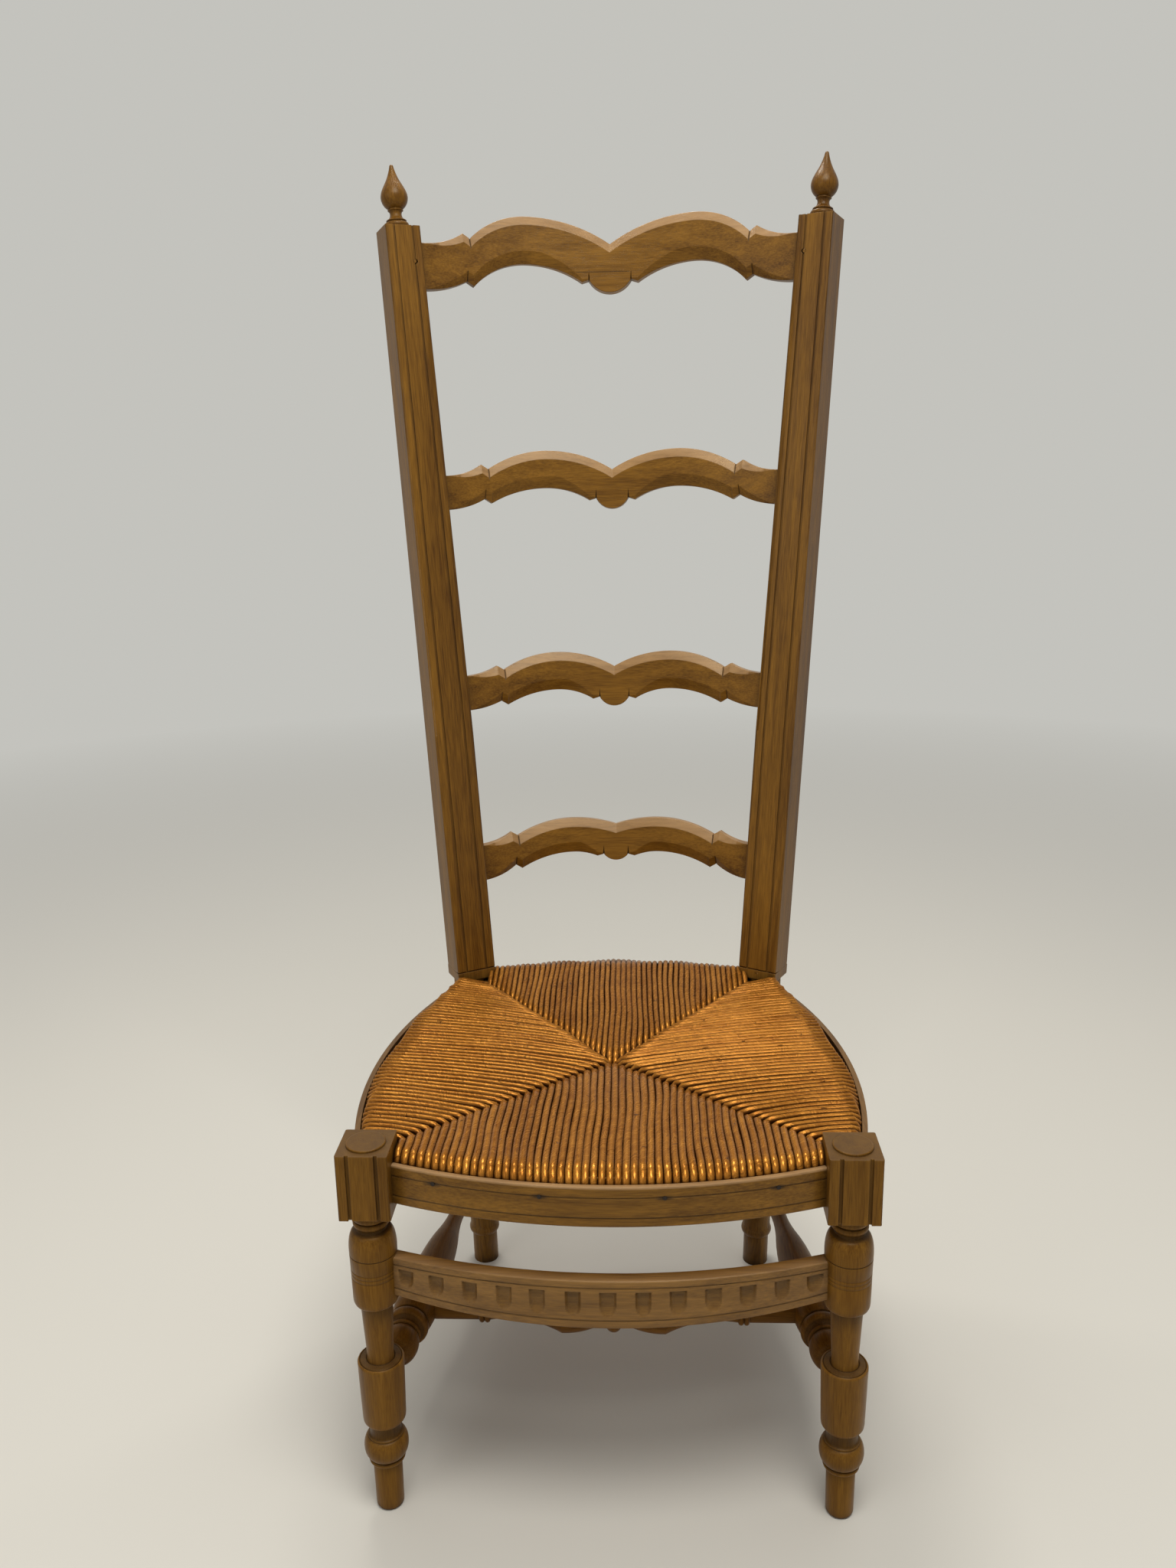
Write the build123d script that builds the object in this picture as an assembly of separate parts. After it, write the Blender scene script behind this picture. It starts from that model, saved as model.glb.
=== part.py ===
from build123d import *
from math import atan2, cos, degrees, hypot, radians, sin, sqrt, tan
from typing import NamedTuple
import os

# Rush-seated ladder-back nursing chair: turned front legs, raked rear posts with finials, four bowed
# slats, a rush seat woven round four rails, and turned and carved stretchers.
# Millimetres, +Z up, the sitter faces -Y. While it is built, Y = 0 is the plane of the front leg axes.

# Joinery
fit = 0.2                      # clearance round every tenon, dowel and nail
coping = 0.3                   # clearance of a shoulder scribed to a round leg
edge_round = 1.5               # worn arrises of the square-sectioned pieces

# Front legs: turned elements stacked from the floor, with a square block at seat height
front_leg_spacing = 386.0
foot_diameter = 25.0
foot_height = 34.0
foot_ring_diameter = 32.0
foot_ring_height = 9.0
ball_diameter = 38.0
ball_height = 25.0
ball_root_diameter = 28.0
cove_height = 8.0
drum_diameter = 39.0
upper_drum_waist = 36.0        # a drum's diameter at its lower end
lower_drum_waist = 38.0
drum_turn_under = 13.0         # height over which a drum's lower end rounds in
lower_drum_height = 66.0
stem_diameter = 25.0
upper_drum_height = 66.0
shoulder_height = 16.0
neck_diameter = 30.0
neck_height = 17.0
scribe_drop = 7.0              # incised line below the shoulder
scribe_depth = 0.8
block_side = 42.0
block_height = 57.0
block_rise = 7.0               # block's top above the seat
block_groove_inset = 9.5
block_groove_width = 3.0
block_groove_depth = 2.0
cap_diameter = 32.0
cap_height = 2.0

# Rear posts: turned below the seat, rectangular and raked above it
rear_foot_spacing = 304.0
rear_foot_setback = 345.0
knee_spacing = 320.0           # post axes where the square part begins
knee_setback = 358.0
knee_rise = 4.0                # the same above the seat
post_width = 34.0
post_depth = 32.0
post_length = 761.0
post_rake = 5.7
post_flare = 3.7
post_turn = 29.0               # front faces turned inwards to meet the bowed slats square
post_groove_inset = 8.0
post_groove_width = 1.8
post_groove_depth = 1.2
post_heel_chamfer = 4.0
rear_foot_diameter = 27.0
rear_foot_height = 33.0
collar_diameter = 36.0
collar_height = 11.0
shaft_diameter = 32.0
shaft_root_diameter = 30.0     # above the collar

# Finials
finial_diameter = 27.0
finial_height = 60.0
finial_base_diameter = 25.0
finial_base_height = 8.0
finial_ring_height = 5.6       # of the half-round ring at the foot of the base
finial_neck_diameter = 11.0
finial_neck_height = 12.0
finial_root_diameter = 15.0    # where the neck opens into the body
finial_belly_height = 9.0      # from the neck to the widest point
finial_flame_diameter = 12.2   # half-way from the widest point to the tip
finial_tip_diameter = 3.4
finial_dowel_diameter = 10.0
finial_dowel_length = 13.0


class Slat(NamedTuple):
    """Sizes of one back slat; rises are measured from the middle of its end."""
    drop: float                # middle of its end below that of the slat above, or below the post's top
    end: float                 # depth of the end where it enters the post
    ear: float                 # post to the tip of the ear
    ear_rise: float
    heel_rise: float           # lower notch
    hump_reach: float          # centre line to the top of the hump
    hump_rise: float
    dip_rise: float            # the V between the two humps
    arch_rise: float
    pendant_half: float        # half width of the half-round pendant
    pendant_root: float
    pendant_rise: float


slats = {
    "crest_slat": Slat(
        drop=33.7, end=44, ear=37, ear_rise=36, heel_rise=-10, hump_reach=86, hump_rise=56,
        dip_rise=29.5, arch_rise=10, pendant_half=22, pendant_root=-8, pendant_rise=-18.5,
    ),
    "upper_slat": Slat(
        drop=220, end=34, ear=33, ear_rise=29.5, heel_rise=-5, hump_reach=68, hump_rise=44.5,
        dip_rise=25, arch_rise=6.5, pendant_half=17, pendant_root=-6.5, pendant_rise=-15.5,
    ),
    "middle_slat": Slat(
        drop=205, end=36, ear=30, ear_rise=27.5, heel_rise=-9.5, hump_reach=60, hump_rise=40.5,
        dip_rise=24.5, arch_rise=0.5, pendant_half=16, pendant_root=-10, pendant_rise=-17.5,
    ),
    "lower_slat": Slat(
        drop=181, end=38, ear=28.5, ear_rise=30, heel_rise=-6, hump_reach=46.5, hump_rise=42,
        dip_rise=34.5, arch_rise=4.5, pendant_half=13.5, pendant_root=0, pendant_rise=-4.5,
    ),
}
slat_thickness = 12.0
slat_notch_width = 7.0
slat_notch_depth = 4.5
hump_chamfer = 9.0             # width of the chamfer over the humps
hump_chamfer_depth = 4.5
arch_chamfer = 11.0            # width of the chamfer under the arches
arch_chamfer_depth = 5.0
slat_tenon_thickness = 7.0
slat_tenon_length = 15.0
slat_tenon_shoulder = 5.0
crest_pin_diameter = 3.5
crest_pin_length = 22.0

# Seat frame: each rail is a bent bar that the rush is wound round
seat_height = 339.0            # top of the rush over the rails
cord_diameter = 6.0
rail_thickness = 14.0
rail_height = 26.0
rail_tenon_length = 8.0
rail_tenon_thickness = 9.0
rail_tenon_height = 11.0
rail_tenon_margin = 1.0        # rail's edge to its tenon
front_bow = 30.0
apron_setback = 13.0           # apron face behind the blocks' front faces, at its ends
apron_thickness = 5.5
apron_drop = 8.0               # apron's top edge below the seat
apron_height = 34.0
apron_line_height = 7.5        # incised line above the apron's lower edge
apron_line_width = 1.4
apron_line_depth = 1.0
edging_thickness = 4.5
edging_drop = 6.0              # edgings' top edges below the seat
edging_height = 34.0
side_front_reach = 15.0        # edgings' outer faces beyond the front leg axes, at the blocks
side_rear_reach = 11.0         # the same beyond the knees
side_rear_setback = 340.0
side_stop = 9.6                # side rail and edging end this far before the knee
side_bow = 28.0
rear_bow = 12.0
rear_rail_setback = 354.0
rush_dish = 9.0                # how far the weave falls towards the middle, above and below
rush_roll = 11.0               # rounding of the rush over the rails
rush_middle_setback = 178.0    # where the four panels of the weave meet

# Nails that hold the apron and the edgings
nail_head_diameter = 5.0
nail_head_height = 1.6
nail_crown = 1.1               # rounding of a nail's head
nail_diameter = 2.0
nail_length = 18.0
apron_nail_reaches = (49.0, 138.0)
apron_nail_drop = 11.0         # below the apron's top edge
edging_nail_setbacks = (55.0, 165.0, 275.0)

# Front stretcher: bowed board, carved with gouge cuts
front_stretcher_thickness = 12.0
front_stretcher_height = 36.0
front_stretcher_drop = 13.0    # board's top below the legs' shoulders
front_stretcher_bow = 27.0
front_stretcher_tenon_length = 9.0
front_stretcher_tenon_thickness = 7.0
front_stretcher_tenon_height = 26.0
flute_count = 13
flute_pitch = 27.0
flute_width = 12.5
flute_height = 21.0
flute_depth = 3.0
flute_drop = 8.0               # board's top edge to the tops of the flutes
board_line_inset = 5.0
board_line_width = 1.2
board_line_depth = 0.8

# Side and cross stretchers, turned
stretcher_height = 119.0
stretcher_tenon_diameter = 13.0
stretcher_tenon_length = 10.0
stretcher_neck_diameter = 18.0
side_ball_diameter = 29.0
side_ball_length = 27.0
side_collar_diameter = 33.0
side_collar_length = 7.0
side_belly_diameter = 34.0
side_belly_length = 92.0
side_vase_length = 75.0
side_waist_diameter = 17.5
side_rear_diameter = 20.0
cross_setback = 97.0
cross_end_diameter = 17.0
cross_ring_diameter = 22.0
cross_ring_length = 5.0
cross_ring_reach = 118.0       # centre line to the outer rings
cross_belly_diameter = 38.0
cross_belly_reach = 47.0
cross_bead_diameter = 36.0
cross_bead_length = 15.0
cross_waist_diameter = 20.0

left_right = Plane.YZ          # the chair's plane of symmetry
far = 2000.0                   # reach of a cutting block beyond the whole chair
near = 250.0                   # reach of a blank about one piece
upwards = (Align.CENTER, Align.CENTER, Align.MIN)
downwards = (Align.CENTER, Align.CENTER, Align.MAX)
outwards = (Align.MIN, Align.CENTER, Align.CENTER)


def turned(stations):
    """Solid turned about Z. A station is (height, radius, rise of the arc that leads up to it)."""
    first = stations[0]
    last = stations[-1]
    edges = [Line((0, last[0]), (0, first[0])), Line((0, first[0]), (first[1], first[0]))]
    for (z0, r0, _), (z1, r1, rise) in zip(stations, stations[1:]):
        if rise:
            edges.append(SagittaArc((r0, z0), (r1, z1), -rise))
        else:
            edges.append(Line((r0, z0), (r1, z1)))
    if last[1] > 0:
        edges.append(Line((last[1], last[0]), (0, last[0])))
    return revolve(Plane.XZ * make_face(edges), Axis.Z)


def both_sides(shape):
    """A right-hand shape and its mirror image, as (right, left)."""
    return shape, mirror(shape, about=left_right)


def bent_bar(center, outer_radius, thickness, low, high):
    """Upright ring in plan: a bent bar before it is cut to length."""
    ring = Circle(outer_radius) - Circle(outer_radius - thickness)
    return extrude(Pos(center[0], center[1], low) * ring, high - low)


def slab(x_from, x_to, y_from, y_to):
    """Upright block between two X and two Y positions, taller than the chair."""
    size = (x_to - x_from, y_to - y_from, far)
    return Pos((x_from + x_to) / 2, (y_from + y_to) / 2, 0) * Box(*size)


def arc_radius(half_chord, bow):
    """Radius of an arc from its half chord and its bow."""
    return (half_chord**2 + bow**2) / (2 * bow)


# Heights of the front leg's elements; the stem fills what is left between the two drums
foot_ring_z = foot_height
ball_z = foot_ring_z + foot_ring_height
cove_z = ball_z + ball_height
lower_drum_z = cove_z + cove_height
stem_z = lower_drum_z + lower_drum_height
block_top_z = seat_height + block_rise
block_z = block_top_z - block_height
neck_z = block_z - neck_height
shoulder_z = neck_z - shoulder_height
upper_drum_z = shoulder_z - upper_drum_height

half_spacing = front_leg_spacing / 2
half_block = block_side / 2
block_inner_x = half_spacing - half_block
drum_radius = drum_diameter / 2

# Axes of the rear posts, right-hand side
knee_height = seat_height + knee_rise
rear_foot = Vector(rear_foot_spacing / 2, rear_foot_setback, 0)
knee = Vector(knee_spacing / 2, knee_setback, knee_height)
post_slope = Vector(tan(radians(post_flare)), tan(radians(post_rake)), 1)
post_facing = Vector(cos(radians(post_turn)), -sin(radians(post_turn)), 0)
post_frame = Plane(origin=knee, x_dir=post_facing, z_dir=post_slope)
leg_frame = Plane(origin=rear_foot, z_dir=knee - rear_foot)
leg_length = (knee - rear_foot).length
shaft_radius = shaft_diameter / 2


def leg_axis(height):
    """Point of the right rear leg's axis below the seat."""
    return rear_foot + (knee - rear_foot) * (height / knee_height)


# Plan arcs of the seat's front, sides and rear: centre and radius of each outer face
front_radius = arc_radius(block_inner_x, front_bow)
apron_end_y = apron_setback - half_block
front_center = (0, apron_end_y - front_bow + front_radius)
side_front_half = half_spacing + side_front_reach
side_rear_half = knee_spacing / 2 + side_rear_reach
side_run = side_rear_setback - half_block
side_chord = hypot(side_front_half - side_rear_half, side_run)
side_radius = arc_radius(side_chord / 2, side_bow)
side_lean = atan2(side_front_half - side_rear_half, side_run)
side_mid = Vector((side_front_half + side_rear_half) / 2, half_block + side_run / 2)
side_pull = Vector(cos(side_lean), sin(side_lean)) * (side_radius - side_bow)
side_center = ((side_mid - side_pull).X, (side_mid - side_pull).Y)
rear_radius = arc_radius(leg_axis(seat_height).X, rear_bow)
rear_center = (0, rear_rail_setback + rear_bow - rear_radius)

apron_top = seat_height - apron_drop
edging_top = seat_height - edging_drop
rail_top = seat_height - cord_diameter
rail_bottom = rail_top - rail_height
rush_bottom = rail_bottom - cord_diameter
front_rail_radius = front_radius - apron_thickness - cord_diameter
side_rail_radius = side_radius - edging_thickness - cord_diameter
rear_rail_radius = rear_radius + rail_thickness / 2


def tenon_bar(center, rail_radius, low, grow=0.0):
    """Ring that a rail's tenons are cut from, or with `grow` their mortises."""
    side = (rail_thickness - rail_tenon_thickness) / 2
    ring_radius = rail_radius - side + grow
    thickness = rail_tenon_thickness + 2 * grow
    return bent_bar(center, ring_radius, thickness, low - grow, low + rail_tenon_height + grow)


# The front and rear rails have their tenons high, the side rails low, so that they pass each other
high_tenon_z = rail_top - rail_tenon_height - rail_tenon_margin
low_tenon_z = rail_bottom + rail_tenon_margin
front_tenon_x = block_inner_x + rail_tenon_length
rear_tenon_x = leg_axis(rail_top).X - shaft_radius + rail_tenon_length
side_tenon_y = half_block - rail_tenon_length
shaft_tool = leg_frame * Cylinder(shaft_radius + fit, far)
shaft_core = leg_frame * Cylinder(shaft_radius - rail_tenon_length, far)
beyond_shaft = slab(0, far, knee_setback - side_stop, far)

front_tenons = tenon_bar(front_center, front_rail_radius, high_tenon_z)
front_mortises = tenon_bar(front_center, front_rail_radius, high_tenon_z, fit)
side_tenons = tenon_bar(side_center, side_rail_radius, low_tenon_z)
side_mortises = tenon_bar(side_center, side_rail_radius, low_tenon_z, fit)
rear_tenons = tenon_bar(rear_center, rear_rail_radius, high_tenon_z)
rear_mortises = tenon_bar(rear_center, rear_rail_radius, high_tenon_z, fit)


# Front leg, right
foot_radius = foot_diameter / 2
ball_root = ball_root_diameter / 2
stem_radius = stem_diameter / 2
neck_radius = neck_diameter / 2
scribe_z = shoulder_z - scribe_drop
leg_turning = turned([
    (0, foot_radius - edge_round, 0),
    (edge_round, foot_radius, edge_round / 4),
    (foot_ring_z, foot_radius, 0),
    (ball_z, ball_root, foot_ring_diameter / 2 - foot_radius),
    (cove_z, ball_root, ball_diameter / 2 - ball_root),
    (lower_drum_z, ball_root, cove_height / 4),
    (lower_drum_z + drum_turn_under, lower_drum_waist / 2, drum_turn_under / 5),
    (stem_z - 2 * edge_round, drum_radius, 0),
    (stem_z, drum_radius - 2 * edge_round, edge_round / 2),
    (stem_z, stem_radius + 2 * edge_round, 0),
    (stem_z + 4 * edge_round, stem_radius, -edge_round / 2),
    (upper_drum_z - 4 * edge_round, stem_radius, 0),
    (upper_drum_z, stem_radius + edge_round, -edge_round / 4),
    (upper_drum_z + drum_turn_under, upper_drum_waist / 2, drum_turn_under / 5),
    (scribe_z - scribe_depth, drum_radius, 0),
    (scribe_z, drum_radius - scribe_depth, 0),
    (scribe_z + scribe_depth, drum_radius, 0),
    (shoulder_z, drum_radius, 0),
    (neck_z, neck_radius, shoulder_height / 4),
    (neck_z + neck_height / 2, neck_radius, neck_height / 10),
    (block_z, neck_radius, neck_height / 8),
    (block_z + block_height / 2, neck_radius, 0),
])
block = Pos(0, 0, block_z + block_height / 2) * Box(block_side, block_side, block_height)
block = fillet(block.edges().filter_by(Axis.Z), edge_round)
for side in (-1, 1):
    groove_x = side * (half_block - block_groove_inset)
    groove = Box(block_groove_width, 2 * block_groove_depth, far)
    block -= Pos(groove_x, -half_block, 0) * groove
cap = Pos(0, 0, block_top_z + cap_height / 2) * Cylinder(cap_diameter / 2, cap_height)
cap = fillet(cap.edges().group_by(Axis.Z)[-1], cap_height / 2)
front_leg = Pos(half_spacing, 0, 0) * (leg_turning + block + cap)
front_leg -= front_mortises & slab(0, front_tenon_x + fit, -far, half_block)
front_leg -= side_mortises & slab(0, far, side_tenon_y - fit, half_block + edge_round)


# Rear post, right: turned leg and raked post in one piece
collar_z = rear_foot_height
rear_foot_radius = rear_foot_diameter / 2
rear_turning = turned([
    (-collar_height, rear_foot_radius, 0),
    (collar_z, rear_foot_radius, 0),
    (collar_z + collar_height, shaft_root_diameter / 2, (collar_diameter - rear_foot_diameter) / 4),
    (leg_length / 2, shaft_radius, 0),
    (leg_length + edge_round, shaft_radius, 0),
])
rear_leg = (leg_frame * rear_turning) - Pos(0, 0, -far / 2) * Box(far, far, far)
upright = Pos(0, 0, post_length / 2) * Box(post_width, post_depth, post_length)
upright = chamfer(upright.edges().group_by(Axis.Z)[0], post_heel_chamfer)
upright = fillet(upright.edges().filter_by(Axis.Z), edge_round)
for side in (-1, 1):
    groove_x = side * (post_width / 2 - post_groove_inset)
    groove = Box(post_groove_width, 2 * post_groove_depth, far)
    upright -= Pos(groove_x, -post_depth / 2, post_length / 2) * groove
dowel_hole = Cylinder(finial_dowel_diameter / 2 + fit, 2 * (finial_dowel_length + fit))
upright -= Pos(0, 0, post_length) * dowel_hole
rear_post = post_frame * upright + rear_leg
rear_post -= (side_mortises & slab(0, far, half_block, knee_setback)) - shaft_core
rear_post -= rear_mortises & slab(0, rear_tenon_x + fit, 0, far)


# Finial, right: ringed base, pinched neck and a flame-shaped body on a dowel
base_radius = finial_base_diameter / 2
neck_end = finial_base_height + finial_neck_height
belly_z = neck_end + finial_belly_height
tip_radius = finial_tip_diameter / 2
finial_radius = finial_diameter / 2
flame_z = belly_z + (finial_height - belly_z) / 2
finial_neck_sag = (finial_neck_diameter - finial_root_diameter) / 2
finial = turned([
    (-finial_dowel_length, finial_dowel_diameter / 2, 0),
    (0, finial_dowel_diameter / 2, 0),
    (0, base_radius - edge_round, 0),
    (finial_ring_height, base_radius - 2 * edge_round, finial_ring_height / 3),
    (finial_base_height, base_radius - 2 * edge_round, edge_round / 4),
    (neck_end, finial_root_diameter / 2, finial_neck_sag),
    (belly_z, finial_radius, finial_belly_height / 6),
    (flame_z, finial_flame_diameter / 2, finial_belly_height / 5),
    (finial_height, tip_radius, -finial_belly_height / 9),
])
finial = post_frame * Pos(0, 0, post_length) * finial


# Slats: outline sawn from a bowed board, tenoned square into the posts
def under_arch(slat, half_length):
    """Shoulder beside the pendant, top of the arch and tip of the lower notch, right-hand side."""
    return (
        (slat.pendant_half + slat_notch_width, slat.pendant_root),
        (slat.hump_reach, slat.arch_rise),
        (half_length - slat.ear - slat_notch_width * 3 / 2, slat.heel_rise - slat_notch_depth),
    )


def slat_outline(slat, half_length):
    """Front outline in the board's own plane, X along the slat and Y up it."""
    edges = []
    roots = []
    for side in (-1, 1):
        peak = (side * slat.hump_reach, slat.hump_rise)
        valley_x = half_length - slat.ear - slat_notch_width
        valley = (side * valley_x, slat.ear_rise - slat_notch_depth)
        ear_tip = (side * (half_length - slat.ear), slat.ear_rise)
        end_top = (side * half_length, slat.end / 2)
        end_bottom = (side * half_length, -slat.end / 2)
        heel = (side * (half_length - slat.ear - slat_notch_width / 2), slat.heel_rise)
        shoulder, arch, heel_tip = [(side * x, y) for x, y in under_arch(slat, half_length)]
        root = (side * slat.pendant_half, slat.pendant_root + slat_notch_depth / 2)
        out_top = (side * (half_length + post_width), slat.end / 2)
        out_bottom = (side * (half_length + post_width), -slat.end / 2)
        edges += [
            TangentArc(peak, (0, slat.dip_rise), tangent=(-side, 0)),
            TangentArc(peak, valley, tangent=(side, 0)),
            Line(valley, ear_tip),
            TangentArc(end_top, ear_tip, tangent=(-side, 0)),
            Line(end_top, out_top),
            Line(out_top, out_bottom),
            Line(out_bottom, end_bottom),
            TangentArc(end_bottom, heel, tangent=(-side, 0)),
            Line(heel, heel_tip),
            TangentArc(arch, heel_tip, tangent=(side, 0)),
            TangentArc(arch, shoulder, tangent=(-side, 0)),
            Line(shoulder, root),
        ]
        roots.append(root)
    edges.append(ThreePointArc(roots[0], (0, slat.pendant_rise), roots[1]))
    return make_face(edges)


level = knee_height + post_length / post_slope.length
slat_levels = {}
for name, slat in slats.items():
    level -= slat.drop
    slat_levels[name] = level
inner_face = post_frame * Pos(-post_width / 2, 0, 0)
post_sides = both_sides(inner_face * Box(far, far, 2 * far, align=outwards))
turn = radians(post_turn)


def slat_tenon(slat, level, grow=0.0):
    """Right-hand tenon of a slat, or with `grow` its mortise; it starts inside the slat."""
    along = (level - knee_height) * post_slope.length
    length = slat_tenon_length + slat_tenon_shoulder + grow
    size = (length, slat_tenon_thickness + 2 * grow, slat.end - 2 * slat_tenon_shoulder + 2 * grow)
    root = Pos(-slat_tenon_shoulder, 0, along)
    return inner_face * root * Box(*size, align=outwards)


def slat_front(shape, radius):
    """The hollow front face of a bowed board."""
    hollow = [face for face in shape.faces().filter_by(GeomType.CYLINDER) if abs(face.radius - radius) < fit]
    return max(hollow, key=lambda face: face.area)


def arch_outline(slat, half_length):
    """Front outline of a block that stands on the right-hand arch."""
    shoulder, arch, heel_tip = under_arch(slat, half_length)
    sides = Polyline(shoulder, (shoulder[0], near / 2), (heel_tip[0], near / 2), heel_tip)
    inner = TangentArc(arch, shoulder, tangent=(-1, 0))
    outer = TangentArc(arch, heel_tip, tangent=(1, 0))
    return make_face([sides, inner, outer])


def bowed_slat(slat, level):
    """One slat with its outline, chamfers and tenons; `level` is the height of its ends' middles."""
    axis = knee + post_slope * (level - knee_height)
    end_x = axis.X - post_width / 2 * cos(turn)
    end_y = post_width / 2 * sin(turn)
    radius = end_x / sin(turn)
    up_the_back = (0, sin(radians(post_rake)), cos(radians(post_rake)))
    board_frame = Plane(origin=(0, axis.Y, axis.Z), x_dir=(1, 0, 0), z_dir=up_the_back)
    face_frame = Plane(origin=board_frame.origin, x_dir=(1, 0, 0), z_dir=-board_frame.y_dir)
    front_radius = radius - slat_thickness / 2
    center = (0, end_y - radius * cos(turn))
    board = bent_bar(center, radius + slat_thickness / 2, slat_thickness, -near, near)
    prism = extrude(face_frame * slat_outline(slat, end_x), near, both=True)
    shape = (board_frame * board) & prism
    front = slat_front(shape, front_radius)
    humps = [edge for edge in front.edges() if face_frame.to_local_coords(edge.center()).Y > slat.ear_rise]
    shape = chamfer(humps, hump_chamfer, hump_chamfer_depth, reference=front)
    block = (board_frame * board) & extrude(face_frame * arch_outline(slat, end_x), near, both=True)
    front = slat_front(block, front_radius)
    arches = [edge for edge in front.edges() if face_frame.to_local_coords(edge.center()).Y < slat.ear_rise]
    wedge = block - chamfer(arches, arch_chamfer, arch_chamfer_depth, reference=front)
    for waste in both_sides(wedge) + post_sides:
        shape -= waste
    for tenon in both_sides(slat_tenon(slat, level)):
        shape += tenon
    return shape


nodes = {}
for name, slat in slats.items():
    nodes[name] = bowed_slat(slat, slat_levels[name])
    rear_post -= slat_tenon(slat, slat_levels[name], fit)


# Pins through the posts into the crest's tenons
crest_along = (slat_levels["crest_slat"] - knee_height) * post_slope.length
pin_place = inner_face * Pos(slat_tenon_length / 2, -post_depth / 2, crest_along)
pin_along = Rot(90, 0, 0)
pin_tool = Cylinder(crest_pin_diameter / 2 + fit, 2 * (crest_pin_length + fit))
pin = Cylinder(crest_pin_diameter / 2, crest_pin_length, align=downwards)
crest_pin = pin_place * pin_along * pin
crest_pin_hole = pin_place * pin_along * pin_tool
rear_post -= crest_pin_hole
for hole in both_sides(crest_pin_hole):
    nodes["crest_slat"] -= hole


# Seat rails
front_span = slab(-block_inner_x, block_inner_x, -far, half_block)
front_tenon_span = slab(-front_tenon_x, front_tenon_x, -far, half_block)
side_span = slab(0, far, half_block, far) - beyond_shaft
side_tenon_span = slab(0, far, side_tenon_y, far) - beyond_shaft
rear_span = slab(-knee.X, knee.X, 0, far)
rear_tenon_span = slab(-rear_tenon_x, rear_tenon_x, 0, far)

front_rail = bent_bar(front_center, front_rail_radius, rail_thickness, rail_bottom, rail_top) & front_span
front_rail += front_tenons & front_tenon_span
side_rail = bent_bar(side_center, side_rail_radius, rail_thickness, rail_bottom, rail_top) & side_span
side_rail = side_rail - shaft_tool + ((side_tenons & side_tenon_span) - shaft_core)
rear_rail = bent_bar(rear_center, rear_rail_radius, rail_thickness, rail_bottom, rail_top) & rear_span
for tool in both_sides(shaft_tool):
    rear_rail -= tool
rear_rail += rear_tenons & rear_tenon_span


# Apron and edgings: thin bent strips over the wound edge of the seat
apron_low = apron_top - apron_height
apron = bent_bar(front_center, front_radius, apron_thickness, apron_low, apron_top) & front_span
line_low = apron_low + apron_line_height
apron -= bent_bar(front_center, front_radius, apron_line_depth, line_low, line_low + apron_line_width)
edging_low = edging_top - edging_height
edging = bent_bar(side_center, side_radius, edging_thickness, edging_low, edging_top) & side_span
edging -= leg_frame * Cylinder(shaft_radius + coping, far)


# Rush seat: one wound body round the four rails, dished towards the middle where its panels meet
rush_outline = Pos(*front_center) * Circle(front_radius - apron_thickness)
for center_x in (side_center[0], -side_center[0]):
    rush_outline &= Pos(center_x, side_center[1]) * Circle(side_radius - edging_thickness)
rush_outline &= Pos(*rear_center) * Circle(rear_rail_radius + cord_diameter)
rush = extrude(Pos(0, 0, rush_bottom) * rush_outline, seat_height - rush_bottom)
rush = fillet(rush.edges().group_by(Axis.Z)[0] + rush.edges().group_by(Axis.Z)[-1], rush_roll)
rear_corner = leg_axis(seat_height)
panel_corners = [
    (-block_inner_x, half_block),
    (block_inner_x, half_block),
    (rear_corner.X - shaft_radius, rear_corner.Y - shaft_radius),
    (shaft_radius - rear_corner.X, rear_corner.Y - shaft_radius),
]
panel_rim = make_face(Polyline(*panel_corners, close=True))
rush -= loft([Pos(0, 0, seat_height) * panel_rim, Vertex(0, rush_middle_setback, seat_height - rush_dish)])
rush -= loft([Pos(0, 0, rush_bottom) * panel_rim, Vertex(0, rush_middle_setback, rush_bottom + rush_dish)])
block_tool = Pos(half_spacing, 0, 0) * Box(block_side + 2 * fit, block_side + 2 * fit, far)
for tool in both_sides(block_tool) + both_sides(leg_frame * Cylinder(shaft_radius + coping, far)):
    rush -= tool
wrap = rail_thickness + 2 * fit
rush -= bent_bar(front_center, front_rail_radius + fit, wrap, rail_bottom - fit, rail_top + fit)
side_wrap = bent_bar(side_center, side_rail_radius + fit, wrap, rail_bottom - fit, rail_top + fit)
for channel in both_sides(side_wrap & slab(0, far, 0, far)):
    rush -= channel
rear_wrap = bent_bar(rear_center, rear_rail_radius + fit, wrap, rail_bottom - fit, rail_top + fit)
rush -= rear_wrap & slab(-far, far, 0, far)


# Nails: domed heads on the strips, shanks through the rush into the rails
nail_head = Cylinder(nail_head_diameter / 2, nail_head_height, align=upwards)
nail_head = fillet(nail_head.edges().group_by(Axis.Z)[-1], nail_crown)
nail_shank = Cylinder(nail_diameter / 2, nail_length, align=downwards)
nail_hole = Cylinder(nail_diameter / 2 + fit, nail_length + fit, align=downwards)
nail = nail_head + nail_shank


def nail_frame(center, radius, point, height):
    """Frame on a bent strip's outer face, Z pointing out of it, at the plan point's bearing."""
    bearing = Vector(point[0] - center[0], point[1] - center[1])
    outward = bearing.normalized()
    place = Vector(center[0], center[1], height) + outward * radius
    return Plane(origin=place, z_dir=outward)


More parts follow.
